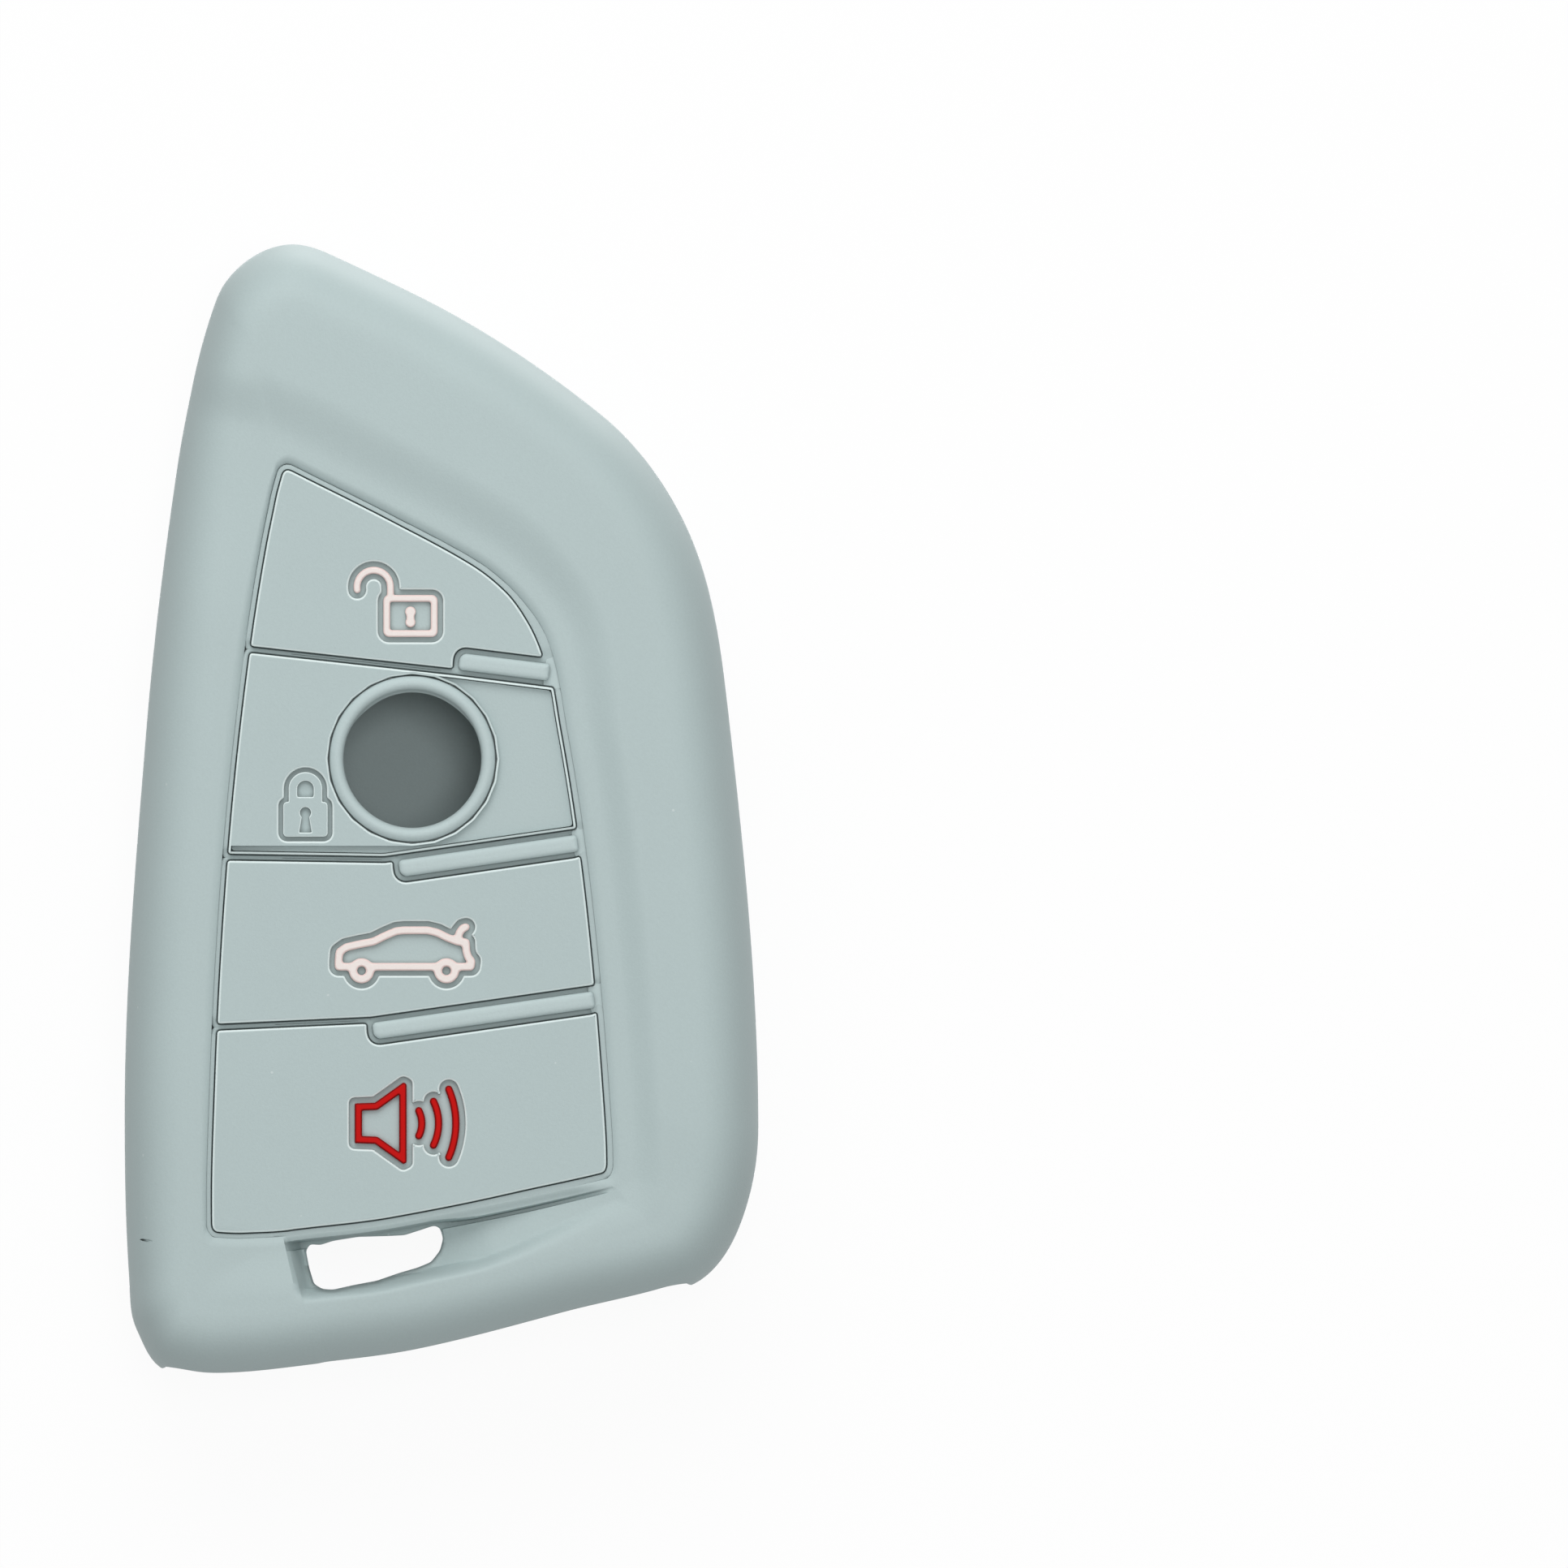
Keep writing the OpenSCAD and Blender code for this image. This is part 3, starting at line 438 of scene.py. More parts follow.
way_low, out_low, span_low = face(rim, wall + inner_edge_w)
depth_low = scoop_depth(rim[:, 0], scoop_wrap)
inner_back_edge = edge_rings(way_low, wall, inner_edge_w, lambda at, left: wall, 9)
inner_back = [ring(slope_foot, panel_deep + wall), ring(slope_top, wall)]
inner_back += face_rings(rim, out_low, inner_start + stops(wall_top, span_low, 12),
                         depth_low, lambda at, e: wall, 1, scoop_wrap)

rings = (slope + back[:-1] + back_edge[::-1][:-1] + front_edge + front[::-1][1:]
         + [ring(panel_edge, gutter_z - 0.1), ring(panel_edge, ledge_z)]
         + [ring(panel_edge - out_in * ledge_w, ledge_z)]
         + inner_front[:-1] + inner_front_edge[::-1][:-1] + inner_back_edge
         + inner_back[::-1][1:])


def select_only(*pieces):
    bpy.ops.object.select_all(action="DESELECT")
    for piece in pieces:
        piece.select_set(True)
    bpy.context.view_layer.objects.active = pieces[0]


def drawn_out(name, rings, closed=False):
    """A disc whose face is drawn out ring by ring, or a hoop drawn round to its start."""
    bpy.ops.mesh.primitive_circle_add(vertices=len(rings[0]), radius=mm,
                                      fill_type="NOTHING" if closed else "NGON")
    rings = rings + rings[:1] if closed else rings
    made = bpy.context.object
    made.name = name
    bpy.ops.object.mode_set(mode="EDIT")
    mesh = bmesh.from_edit_mesh(made.data)
    loop = [vert.index for vert in mesh.verts]
    for step, stop in enumerate(rings):
        if step:
            bpy.ops.mesh.extrude_region_move()
            mesh = bmesh.from_edit_mesh(made.data)
            mesh.verts.index_update()
            mesh.verts.ensure_lookup_table()
            loop = [next(e.other_vert(mesh.verts[k]).index for e in mesh.verts[k].link_edges
                         if e.other_vert(mesh.verts[k]).select) for k in loop]
        mesh.verts.ensure_lookup_table()
        for k, at in zip(loop, stop):
            mesh.verts[k].co = Vector(at) * mm
    bmesh.update_edit_mesh(made.data)
    bpy.ops.mesh.select_all(action="SELECT")
    if closed:
        bpy.ops.mesh.remove_doubles(threshold=0.0001 * mm)
    bpy.ops.mesh.normals_make_consistent(inside=False)
    bpy.ops.object.mode_set(mode="OBJECT")
    return made


skin = drawn_out("silicone_skin", rings)
bpy.ops.object.shade_smooth_by_angle(angle=math.radians(40))

# The silicone is matte and grey-green, with a fine moulded grain, faint mottling and a
# few pale specks of dust. Painted shade darkens it in narrow grooves and hollows, and a
# painted highlight makes it paler along the rounded edges of the buttons.
cover_colour, dust_colour = (0.44, 0.533, 0.533), (0.75, 0.8, 0.79)


def mixed(share, one, other):
    """One colour, turned into another where the share is 1."""
    return share.node("Mix", {"data_type": "RGBA"}, {0: share, 6: one, 7: (*other, 1)}, 2)


def silicone(name, colour, rough, specks, painted_edge_colour, sheen=0.42):
    made = bpy.data.materials.new(name)
    start = started(made)
    at = start.node("TexCoord", out=3)
    clouds = start.node("TexNoise", inputs={"Vector": at, "Scale": 95.0, "Detail": 3.0})
    grain = start.node("TexNoise",
                       inputs={"Vector": at, "Scale": 5200.0, "Detail": 2.0, "Roughness": 0.6})
    dots = start.node("TexVoronoi", inputs={"Vector": at, "Scale": 260.0})
    dust = start.node("MapRange", {"clamp": True}, {0: dots, 1: 0.018, 2: 0.032, 3: specks, 4: 0.0})
    dark = tuple(c * 0.91 for c in colour)
    pale = tuple(min(c * 1.075, 1) for c in colour)
    shade = mixed(dust, mixed(clouds * 0.4 + grain * 0.6, (*dark, 1), pale), dust_colour)
    # Painted shade: the colour darkens where an occlusion node finds surfaces close by, and by the
    # per-point shade attribute, which can add to it or take it away.
    open_sky = start.node("AmbientOcclusion", {"samples": 6}, {"Distance": 0.45 * mm}, 1)
    crevice_shade = start.node("MapRange", {"clamp": True}, {0: open_sky, 1: 0.3, 2: 0.85, 3: 0.7, 4: 0.0})
    crevice_shade = crevice_shade + start.node("Attribute", {"attribute_name": "grimy"}, out=2)
    shade = mixed(crevice_shade.maths("MINIMUM", 0.9), shade, [c * 0.3 for c in colour])
    # Painted highlight on the buttons' rounded top edges, and painted shade on the symbol fills'
    # edges, mixed in where plate() marks the edge.
    edge = start.node("Attribute", {"attribute_name": "moulded_edge"}, out=2)
    shade = mixed(edge, shade, painted_edge_colour)
    bump = start.node("Bump", inputs={"Strength": 0.42, "Distance": 0.03 * mm, "Height": grain})
    body = start.node("BsdfPrincipled", inputs={
        "Base Color": shade, "Roughness": clouds * 0.12 + (grain * 0.08 + (rough - 0.1)),
        "Specular IOR Level": sheen, "Normal": bump})
    start.node("OutputMaterial", inputs={"Surface": body})
    return made


def points_of(piece):
    where = np.empty(len(piece.data.vertices) * 3)
    piece.data.vertices.foreach_get("co", where)
    return where.reshape(-1, 3)


def paint_shade(piece, shares):
    """Marks how much painted shade darkens each point of a piece."""
    layer = piece.data.attributes.new("grimy", "FLOAT", "POINT")
    layer.data.foreach_set("value", np.asarray(shares, np.float32))


# The cover's edge colour is a painted highlight, paler than the silicone itself.
cover_silicone = silicone("cover_silicone", cover_colour, 0.6, 0.35, (0.76, 0.86, 0.85))
# A lighter copy of the cover silicone for the accent bars and the window lip: painted light on
# their raised tops, with a paler edge colour as painted highlight.
painted_light_silicone = silicone("painted_light_silicone", (0.48, 0.578, 0.578), 0.58, 0.0, (0.6, 0.7, 0.7))
skin.data.materials.append(cover_silicone)

# The key ring slot goes through both faces at the foot of the scoops. Its walls are
# square to the table, its lips are rounded and follow the faces, and its edge is a little
# untrue, as the mould left it. The edge is given in sixteenths of a millimetre.
slot_lip, slot_top, slot_bottom = 0.28, 20, -10
slot_edge = np.array([
    [-167, -544], [-162, -536], [-149, -537], [-134, -532], [-103, -527], [-67, -526],
    [-46, -525], [-27, -519], [-9, -513], [-2, -516], [2, -529], [-2, -544],
    [-13, -558], [-30, -565], [-51, -571], [-80, -581], [-107, -586], [-134, -592],
    [-147, -591], [-157, -585], [-163, -565]]) / 16


def run_along(line):
    return np.r_[0, np.cumsum(length(np.diff(line, axis=0)))]


def at_run(where, run, line):
    return np.c_[np.interp(where, run, line[:, 0]), np.interp(where, run, line[:, 1])]


def smooth_round(values, spacing, blur):
    """Values at even steps round a closed loop, blurred over a width."""
    gain = np.exp(-2 * (math.pi * np.fft.fftfreq(len(values), spacing) * blur) ** 2)
    return np.fft.ifft((np.fft.fft(values, axis=0).T * gain).T, axis=0).real


def soften(loop, spacing, blur):
    """The same closed loop with even steps and its corners rounded."""
    closed = np.vstack([loop, loop[:1]])
    run = run_along(closed)
    steps = max(int(run[-1] / spacing), 16)
    even = np.linspace(0, run[-1], steps, endpoint=False)
    return smooth_round(at_run(even, run, closed), run[-1] / steps, blur)


def outward(loop):
    """The direction out of a closed loop at each of its points."""
    along = unit(np.roll(loop, -1, 0) - np.roll(loop, 1, 0))
    turn = np.cross(loop, np.roll(loop, -1, 0)).sum()
    return np.c_[along[:, 1], -along[:, 0]] * np.sign(turn)


def join(*pieces):
    """Makes the pieces one, with the name of the first."""
    select_only(*pieces)
    bpy.ops.object.join()


def carve(body, cutter):
    """Cuts one closed piece out of another."""
    cut = body.modifiers.new("cut", "BOOLEAN")
    cut.object, cut.operation, cut.solver = cutter, "DIFFERENCE", "EXACT"
    select_only(body)
    bpy.ops.object.modifier_apply(modifier="cut")
    bpy.data.objects.remove(cutter)


slot_edge = soften(slot_edge, 0.12, 0.16)
slot_out = outward(slot_edge)
faces = BVHTree.FromObject(skin, bpy.context.evaluated_depsgraph_get())


def surface_heights(loop, start_z, down):
    """Heights of the first face above or below a loop, evened out round it."""
    found = []
    for x, y in loop:
        hit = faces.ray_cast(Vector((x, y, start_z)) * mm, Vector((0, 0, -1 if down else 1)))[0]
        found.append(hit.z / mm)
    smooth = np.array(found)
    for _ in range(3):
        smooth = (np.roll(smooth, 1) + smooth + np.roll(smooth, -1)) / 3
    return smooth


flare = [(0.30, 0.3), (0.16, 0.02), (0.09, -0.05), (0.03, -0.13), (0.0, -slot_lip)]
slot_rings = []
for start_z, down in [(30, True), (middle, False), (middle, True), (-10, False)]:
    side = 1 if down else -1
    stack = []
    for grow, up in flare:
        loop = slot_edge + slot_out * grow
        stack.append(ring(loop, surface_heights(loop, start_z, down) + up * side))
    slot_rings += stack if down else stack[::-1]
slot_rings[0][:, 2], slot_rings[-1][:, 2] = slot_top, slot_bottom
slot_cutter = drawn_out("slot_cutter", slot_rings)

# A small nick that the mould left in the rounded edge
nick_at, nick_l, nick_w = np.array([-22.8, -33.2]), 0.42, 0.1
t = np.linspace(0, 2 * math.pi, 24, endpoint=False)
nick = nick_at + np.c_[nick_l * np.cos(t) + 0.03 * np.sin(3 * t),
                       nick_w * np.sin(t) - 0.07 * np.cos(t)]
nick_z = surface_heights(nick, 30, True)
nick_cutter = drawn_out("nick_cutter", [
    ring(nick.mean(0) + (nick - nick.mean(0)) * share, nick_z + up)
    for share, up in [(1.5, 0.4), (1.15, 0.02), (1, -0.04), (0.8, -0.16), (0.5, -0.26)]])
join(slot_cutter, nick_cutter)
carve(skin, slot_cutter)

# The mouth is the opening in the bottom edge that the fob goes in through: a long
# rounded slit round the middle of the edge, with a soft lip inside and out.
mouth_high, mouth_corner, mouth_lip = 9.2, 2.0, 0.45
mouth_steps, mouth_places = 30, np.arange(7, 16)
mouth_i = np.repeat(mouth_places, mouth_steps)
mouth_u = np.tile(np.linspace(0, 1, mouth_steps, endpoint=False), len(mouth_places))
mouth_at = curve(outline_shares, mouth_i, mouth_u)
mouth_way = unit(square_to_outline(mouth_i, mouth_u) + face_lean * unit(
    curve(frame_shares, mouth_i, mouth_u) - mouth_at))
mouth_run = run_along(mouth_at)
mouth_from, mouth_to = mouth_run[mouth_steps], mouth_run[mouth_steps * 7]
half_l, half_h = (mouth_to - mouth_from) / 2, mouth_high / 2
turns = np.radians(np.arange(0, 90, 10))
mouth_loop = np.vstack([
    np.array([sx * (half_l - mouth_corner), sy * (half_h - mouth_corner)])
    + mouth_corner * np.c_[np.cos(turns + a), np.sin(turns + a)]
    for sx, sy, a in [(1, 1, 0), (-1, 1, math.pi / 2), (-1, -1, math.pi), (1, -1, 1.5 * math.pi)]])
mouth_loop = soften(mouth_loop, 0.4, 0)
mouth_out = outward(mouth_loop)


def edge_depth(z, width, high):
    tall = np.clip(np.abs(z - middle) / high, 0, 0.999)
    return width * (1 - (1 - tall ** edge_power) ** (1 / edge_power))


def mouth_ring(depth, grow, face_depth):
    """A loop round the mouth, at a depth from the outline, the edge or the pocket."""
    loop = mouth_loop + mouth_out * grow
    run = (mouth_from + mouth_to) / 2 + loop[:, 0]
    z = middle + loop[:, 1]
    way = unit(at_run(run, mouth_run, mouth_way))
    inside = {"out": 0 * z, "edge": edge_depth(z, edge_w, middle),
              "pocket": wall + edge_depth(z, inner_edge_w, middle - wall)}[face_depth]
    return ring(at_run(run, mouth_run, mouth_at) + way * (depth + inside)[:, None], z)


depths = [(-4, 0.6, "out"), (-0.2, 0.6, "edge"), (0.0, mouth_lip * 0.72, "edge"),
          (0.06, mouth_lip * 0.5, "edge"), (0.16, mouth_lip * 0.26, "edge"),
          (0.3, mouth_lip * 0.09, "edge"), (0.48, 0.0, "edge"), (-0.3, 0.0, "pocket"),
          (-0.18, 0.05, "pocket"), (-0.07, 0.14, "pocket"), (0.0, 0.25, "pocket"),
          (0.2, 0.4, "pocket"), (3.5, 0.4, "pocket")]
carve(skin, drawn_out("mouth_cutter", [mouth_ring(*d) for d in depths]))

# Painted shade darkens the slot's lower lip in front and all round it behind, less of it in
# the front's scoop, which is open, more under the back scoop's edge, and none on the back,
# however close the table is.
where = points_of(skin) / mm
scoop_open, back_no_shade, scoop_edge_shade, slot_shade = -0.3, -0.8, 0.4, 0.6
x, y, z = where.T
front_scoop = (z > 12) * ease((16.8 - z) / 0.3) * ease((-28 - y) / 2) * ease((x + 2) / 3)
shares = scoop_open * front_scoop + back_no_shade * (z < 0.4)
under_edge = np.flatnonzero((abs(z - 2.4) < 2) & (y < -27) & (abs(x - 1.5) < 12))
where, behind = where[:, :2], z < middle
scoop_rim = rim[(i > scoop_from) & (i < scoop_to)]
apart = length(where[under_edge, None] - scoop_rim).min(1)
shares[under_edge] += scoop_edge_shade * (1 - ease((apart - 0.5) / 1.2))
by_slot = np.flatnonzero(length(where - slot_edge.mean(0)) < 8)
apart = length(where[by_slot, None] - slot_edge)
lower = slot_out[apart.argmin(1), 1] < -0.2
reach = np.where(behind[by_slot], 0.55, 0.3)
shaded_lip = (lower | behind[by_slot]) * (1 - ease((apart.min(1) - 0.12) / reach))
shares[by_slot] += slot_shade * shaded_lip
paint_shade(skin, shares)
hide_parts("front_shell", "back_shell")
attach(skin, "sleeve")

# The four buttons are plates of the same silicone in one sunk panel, with thin grooves
# between them. Each is moulded with a pocket for its symbol and a boss below that
# presses the fob's own button. Distances to their edges are worked out on a grid.
plate_low, pocket_z, web_z = 16.45, 16.75, 15.4
groove, corner = 0.53, 0.18
bar_w, bar_round, bar_groove = 1.25, 0.45, 0.5
unlock_moat, lock_moat, car_moat, horn_moat = 0.4, 0.34, 0.38, 0.44
line_w, car_line, red_line = 0.54, 0.61, 0.57
boss_in, floor_in, window_r, lip_r = 0.7, 0.25, 5.303, 6.4
bar_ends = np.array([[[0.041, 0.130], [0.170, 0.121]], [[-0.0535, -0.0517], [0.215, -0.030]],
                     [[-0.095, -0.1955], [0.241, -0.1685]]]) * scale
divider_left = np.array([[-0.45, 0.1505], [-0.45, -0.0415], [-0.45, -0.1955]]) * scale
bend_x = np.array([0.021, -0.090, -0.111]) * wide
straight_side = [-1, 1, 1]
window_at, unlock_at, car_at, horn_at = scale * np.array([
    [-0.046, 0.0445], [-0.049, 0.171], [-0.0575, -0.123], [-0.096, -0.278]])
lock_at = np.array([-10.479, -0.782])


def grid(low, high, step):
    return np.stack(np.meshgrid(np.arange(low[0], high[0], step),
                                np.arange(low[1], high[1], step), indexing="ij"), -1)


def from_disc(at, centre, r):
    return length(at - centre) - r


def from_box(at, centre, w, h, r):
    over = np.abs(at - centre) - np.array([w / 2 - r, h / 2 - r])
    return length(np.maximum(over, 0)) + np.minimum(over.max(-1), 0) - r


def from_line(at, points, w):
    best = np.full(at.shape[:-1], 1e3)
    for a, b in zip(points, points[1:]):
        t = np.clip(((at - a) @ (b - a)) / ((b - a) @ (b - a)), 0, 1)
        best = np.minimum(best, length(at - a - t[..., None] * (b - a)))
    return best - w / 2


def from_shape(at, corners):
    """Distance from a closed shape's edge, less than zero inside it."""
    best = from_line(at, np.vstack([corners, corners[:1]]), 0)
    inside = np.zeros(at.shape[:-1], bool)
    for a, b in zip(corners, np.roll(corners, -1, 0)):
        if a[1] != b[1]:
            level = (a[1] <= at[..., 1]) != (b[1] <= at[..., 1])
            cross_x = a[0] + (at[..., 1] - a[1]) * (b[0] - a[0]) / (b[1] - a[1])
            inside ^= level & (at[..., 0] < cross_x)
    return np.where(inside, -best, best)


def arc_points(centre, r, start, stop):
    t = np.radians(np.linspace(start, stop, 25))
    return np.asarray(centre) + r * np.c_[np.cos(t), np.sin(t)]


def contours(at, field, spacing, blur):
    """The closed loops where a field on a grid passes zero, with its inside on their left."""
    inside = field < 0
    points, follow = {}, {}

    def crossing(a, b):
        key = (min(a, b), max(a, b))
        points[key] = at[a] + (at[b] - at[a]) * (field[a] / (field[a] - field[b]))
        return key

    cells = inside[:-1, :-1].astype(int) + inside[1:, :-1] + inside[1:, 1:] + inside[:-1, 1:]
    for i, j in np.argwhere((cells > 0) & (cells < 4)):
        corners = [(i, j), (i + 1, j), (i + 1, j + 1), (i, j + 1)]
        turns = [(inside[a], crossing(a, b)) for a, b in zip(corners, corners[1:] + corners[:1])
                 if inside[a] != inside[b]]
        for k, (leaves, key) in enumerate(turns):
            if leaves:
                follow[key] = turns[(k + 1) % len(turns)][1]
    loops = []
    while follow:
        start, key = next(iter(follow.items()))
        loop = [points[start]]
        del follow[start]
        while key in follow:
            loop.append(points[key])
            key = follow.pop(key)
        if len(loop) > 12:
            loops.append(soften(np.array(loop), spacing, blur))
    return loops


def plate(name, loops, low, high, edge):
    """A flat piece with rounded edges, from closed loops of which some are holes."""
    bpy.ops.object.add(type="CURVE")
    made = bpy.context.object
    made.name = name
    line = made.data
    line.dimensions, line.fill_mode = "2D", "BOTH"
    line.extrude = ((high - low) / 2 - edge) * mm
    line.bevel_depth, line.bevel_resolution, line.offset = edge * mm, 2, -edge * mm
    for loop in loops:
        run = line.splines.new("POLY")
        run.points.add(len(loop) - 1)
        run.points.foreach_set("co", np.c_[loop * mm, np.zeros(len(loop)),
                                           np.ones(len(loop))].ravel())
        run.use_cyclic_u = True
    bpy.ops.object.convert(target="MESH")
    made = bpy.context.object
    bpy.ops.object.mode_set(mode="EDIT")
    bpy.ops.mesh.select_all(action="SELECT")
    bpy.ops.transform.translate(value=(0, 0, (low + high) / 2 * mm))
    bpy.ops.mesh.remove_doubles(threshold=0.002 * mm)
    bpy.ops.mesh.normals_make_consistent(inside=False)
    mesh = bmesh.from_edit_mesh(made.data)
    # Marks the rounded top edge, where the material paints a highlight or shade.
    edge_tone_layer = mesh.verts.layers.float.new("moulded_edge")
    for vert in mesh.verts:
        vert[edge_tone_layer] = high - edge * 0.8 < vert.co.z / mm < high - edge * 0.01
    bmesh.update_edit_mesh(made.data)
    bpy.ops.object.mode_set(mode="OBJECT")
    return made


def raise_to_crease(piece, above):
    """Cuts a piece along the panel's crease and lifts what lies left of it."""
    select_only(piece)
    bpy.ops.object.mode_set(mode="EDIT")
    for run in (-0.6, -0.2, 0.2, 0.6):
        bpy.ops.mesh.select_all(action="SELECT")
        bpy.ops.mesh.bisect(plane_co=((crease_x - run) * mm, 0, 0),
                            plane_no=(1, -crease_lean, 0))
    bpy.ops.object.mode_set(mode="OBJECT")
    where = points_of(piece)
    high = where[:, 2] > above * mm
    where[high, 2] += crease(where[high, 0] / mm, where[high, 1] / mm) * mm
    piece.data.vertices.foreach_set("co", where.ravel())
    piece.data.update()


def finished(piece, material, body, nodes, angle=40):
    """Shades a piece smoothly but for its flat top, and says what it is and rides on."""
    select_only(piece)
    bpy.ops.object.shade_smooth_by_angle(angle=math.radians(angle))
    for face in piece.data.polygons:
        if face.normal.z > 0.9999:
            face.use_smooth = False
    piece.modifiers.new("even_light", "WEIGHTED_NORMAL").keep_sharp = True
    bpy.ops.object.modifier_apply(modifier="even_light")
    piece.data.materials.append(material)
    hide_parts(*nodes)
    if body:
        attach(piece, body)


cell, edge_step = 0.1, 0.12
panel = grid((-20, -36), (16, 30), cell)
to_frame = -from_shape(panel, panel_edge[::2])
to_bars, to_sides = [], []
for (a, b), bx, left, side in zip(bar_ends, bend_x, divider_left, straight_side):
    way = unit(b - a)
    across = np.array([-way[1], way[0]])
    v = panel - (a + b - way * bar_w / 2) / 2
    to_bars.append(from_box(np.stack([v @ way, v @ across], -1), 0,
                            np.linalg.norm(b - a) + bar_w / 2, bar_w, bar_round))
    beside = a + side * (bar_w / 2 + bar_groove - groove / 2) * across
    bend = np.array([bx, beside[1] + (bx - beside[0]) * way[1] / way[0]])
    far_left = bend + (left - bend) * 2
    far_right = beside + way * wide
    low_line = np.array([far_left, bend, far_right])
    above = np.interp(panel[..., 0], low_line[:, 0], low_line[:, 1]) < panel[..., 1]
    gap = from_line(panel, low_line, 0)
    to_sides.append(np.where(above, gap, -gap))

pad_names = ["unlock", "lock", "trunk", "panic"]
bodies = [name + "_pad" for name in pad_names]
pad_fields = []
gutter_w, gutter_more, corner_more = 0.44, 0.1, 0.28
gutter = gutter_w + gutter_more * ease((panel[..., 0] + 5) / 12) * ease((panel[..., 1] + 31) / 2)
corner_cut = corner_more * ease((panel[..., 0] - 5) / 2.5)
for k in range(4):
    field = gutter - to_frame + (corner_cut if k == 0 else 0)
    if k > 0:
        field = np.maximum(field, to_sides[k - 1] + groove / 2)
    if k < 3:
        field = np.maximum(field, groove / 2 - to_sides[k])
    for bar in to_bars:
        field = np.maximum(field, bar_groove - bar)
    pad_fields.append(field)

# Symbols, as distances from their edges on finer grids of their own
unlock_w, lock_w, car_l, horn_h = 4.2, 3.44, 10.25, 6.3


def unlock_field(at):
    at = at - unlock_at
    high = unlock_w * 0.774
    body = np.maximum(from_box(at, 0, unlock_w, high, unlock_w * 0.11),
                      -from_box(at, 0, unlock_w - 2 * line_w, high - 2 * line_w, unlock_w * 0.03))
    hook = np.array([-0.674, 0.533]) * unlock_w
    r = unlock_w * 0.307
    shackle = from_line(at, np.vstack([arc_points(hook, r, 190, 0),
                                       [[hook[0] + r, high / 2 - line_w / 2]]]), line_w)
    return np.minimum(body, shackle)


def keyhole_field(at):
    at = at - unlock_at
    return np.minimum.reduce([
        from_disc(at, np.array([0, 0.075]) * unlock_w, unlock_w * 0.1),
        from_disc(at, np.array([0, -0.115]) * unlock_w, unlock_w * 0.093),
        from_box(at, 0, unlock_w * 0.15, unlock_w * 0.2, 0)])


def lock_field(at, solid):
    at = at - lock_at
    top = np.array([0, lock_w * 0.68])
    whole = np.minimum(from_box(at, 0, lock_w, lock_w * 0.782, lock_w * 0.09),
                       from_line(at, np.array([[0, 0], top]), lock_w * 0.756))
    if solid:
        return whole
    hook = from_line(at, np.array([top, top - [0, lock_w * 0.12]]), lock_w * 0.366)
    hook = np.maximum(hook, lock_w * 0.5 - at[..., 1])
    hole = np.minimum(from_disc(at, np.array([0, lock_w * 0.148]), lock_w * 0.122), from_shape(
        at, lock_w * np.array([[-0.07, 0.1], [-0.137, -0.294], [0.137, -0.294], [0.07, 0.1]])))
    return np.maximum(whole, -np.minimum(hook, hole))


car_shares = np.array([
    [-0.5, -0.14], [-0.5, -0.098], [-0.494, -0.03], [-0.445, 0.006], [-0.341, 0.03],
    [-0.238, 0.049], [-0.152, 0.092], [-0.067, 0.128], [-0.012, 0.134], [0.171, 0.134],
    [0.244, 0.116], [0.317, 0.079], [0.396, 0.049], [0.458, 0.043], [0.46, -0.024],
    [0.476, -0.073], [0.5, -0.098], [0.494, -0.14]])
lid_shares = np.array([[0.392, 0.061], [0.41, 0.12], [0.436, 0.152], [0.458, 0.158]])


def car_field(at, solid):
    at = at - car_at
    edge = from_shape(at, car_l * car_shares)
    body = edge - car_line / 2
    if not solid:
        body = np.maximum(body, -edge - car_line / 2)
    wheels = np.array([[-0.327, -0.17], [0.311, -0.17]]) * car_l
    for wheel in wheels:
        body = np.minimum(body, from_disc(at, wheel, car_l * 0.0957))
    body = np.minimum(body, from_line(at, car_l * lid_shares, car_line))
    if not solid:
        for wheel in wheels:
            body = np.maximum(body, -from_disc(at, wheel, car_l * 0.034))
    return body


horn_shares = np.array([
    [-0.317, 0.243], [-0.07, 0.252], [0.278, 0.5], [0.317, 0.48],
    [0.317, -0.48], [0.278, -0.5], [-0.07, -0.252], [-0.317, -0.243]])


def horn_field(at, solid):
    edge = from_shape(at - horn_at, horn_h * horn_shares)
    return edge if solid else np.maximum(edge, -edge - red_line)


def wave_field(at, k):
    r, half, place = [(0.34, 26.9, 0.503), (0.605, 26.3, 0.708), (1.048, 23.4, 0.919)][k]
    centre = horn_at + [horn_h * (place - r), 0]
    return from_line(at, arc_points(centre, horn_h * r, -half, half), red_line)


def outlines(field, at, span, spacing, blur):
    """A symbol's closed loops, from a fine grid round its place."""
    spots = grid(at - span, at + span, 0.05)
    return contours(spots, field(spots), spacing, blur)


pockets = []
for at, span, field in [
        (unlock_at, 6, lambda g: np.minimum(unlock_field(g) - unlock_moat,
                                            from_box(g, unlock_at, 2.6, 2.2, 0.1))),
        (lock_at, 6, lambda g: lock_field(g, True) - lock_moat),
        (car_at, 8, lambda g: car_field(g, True) - car_moat),
        (horn_at, 8, lambda g: np.minimum.reduce(
            [horn_field(g, True)] + [wave_field(g, k) for k in range(3)]) - horn_moat)]:
    pockets.append(outlines(field, at, span, 0.1, 0.07))
window_hole = arc_points(window_at, lip_r + 0.13, 0, 360)[:-1]
window_hole = soften(window_hole, 0.25, 0)[::-1]

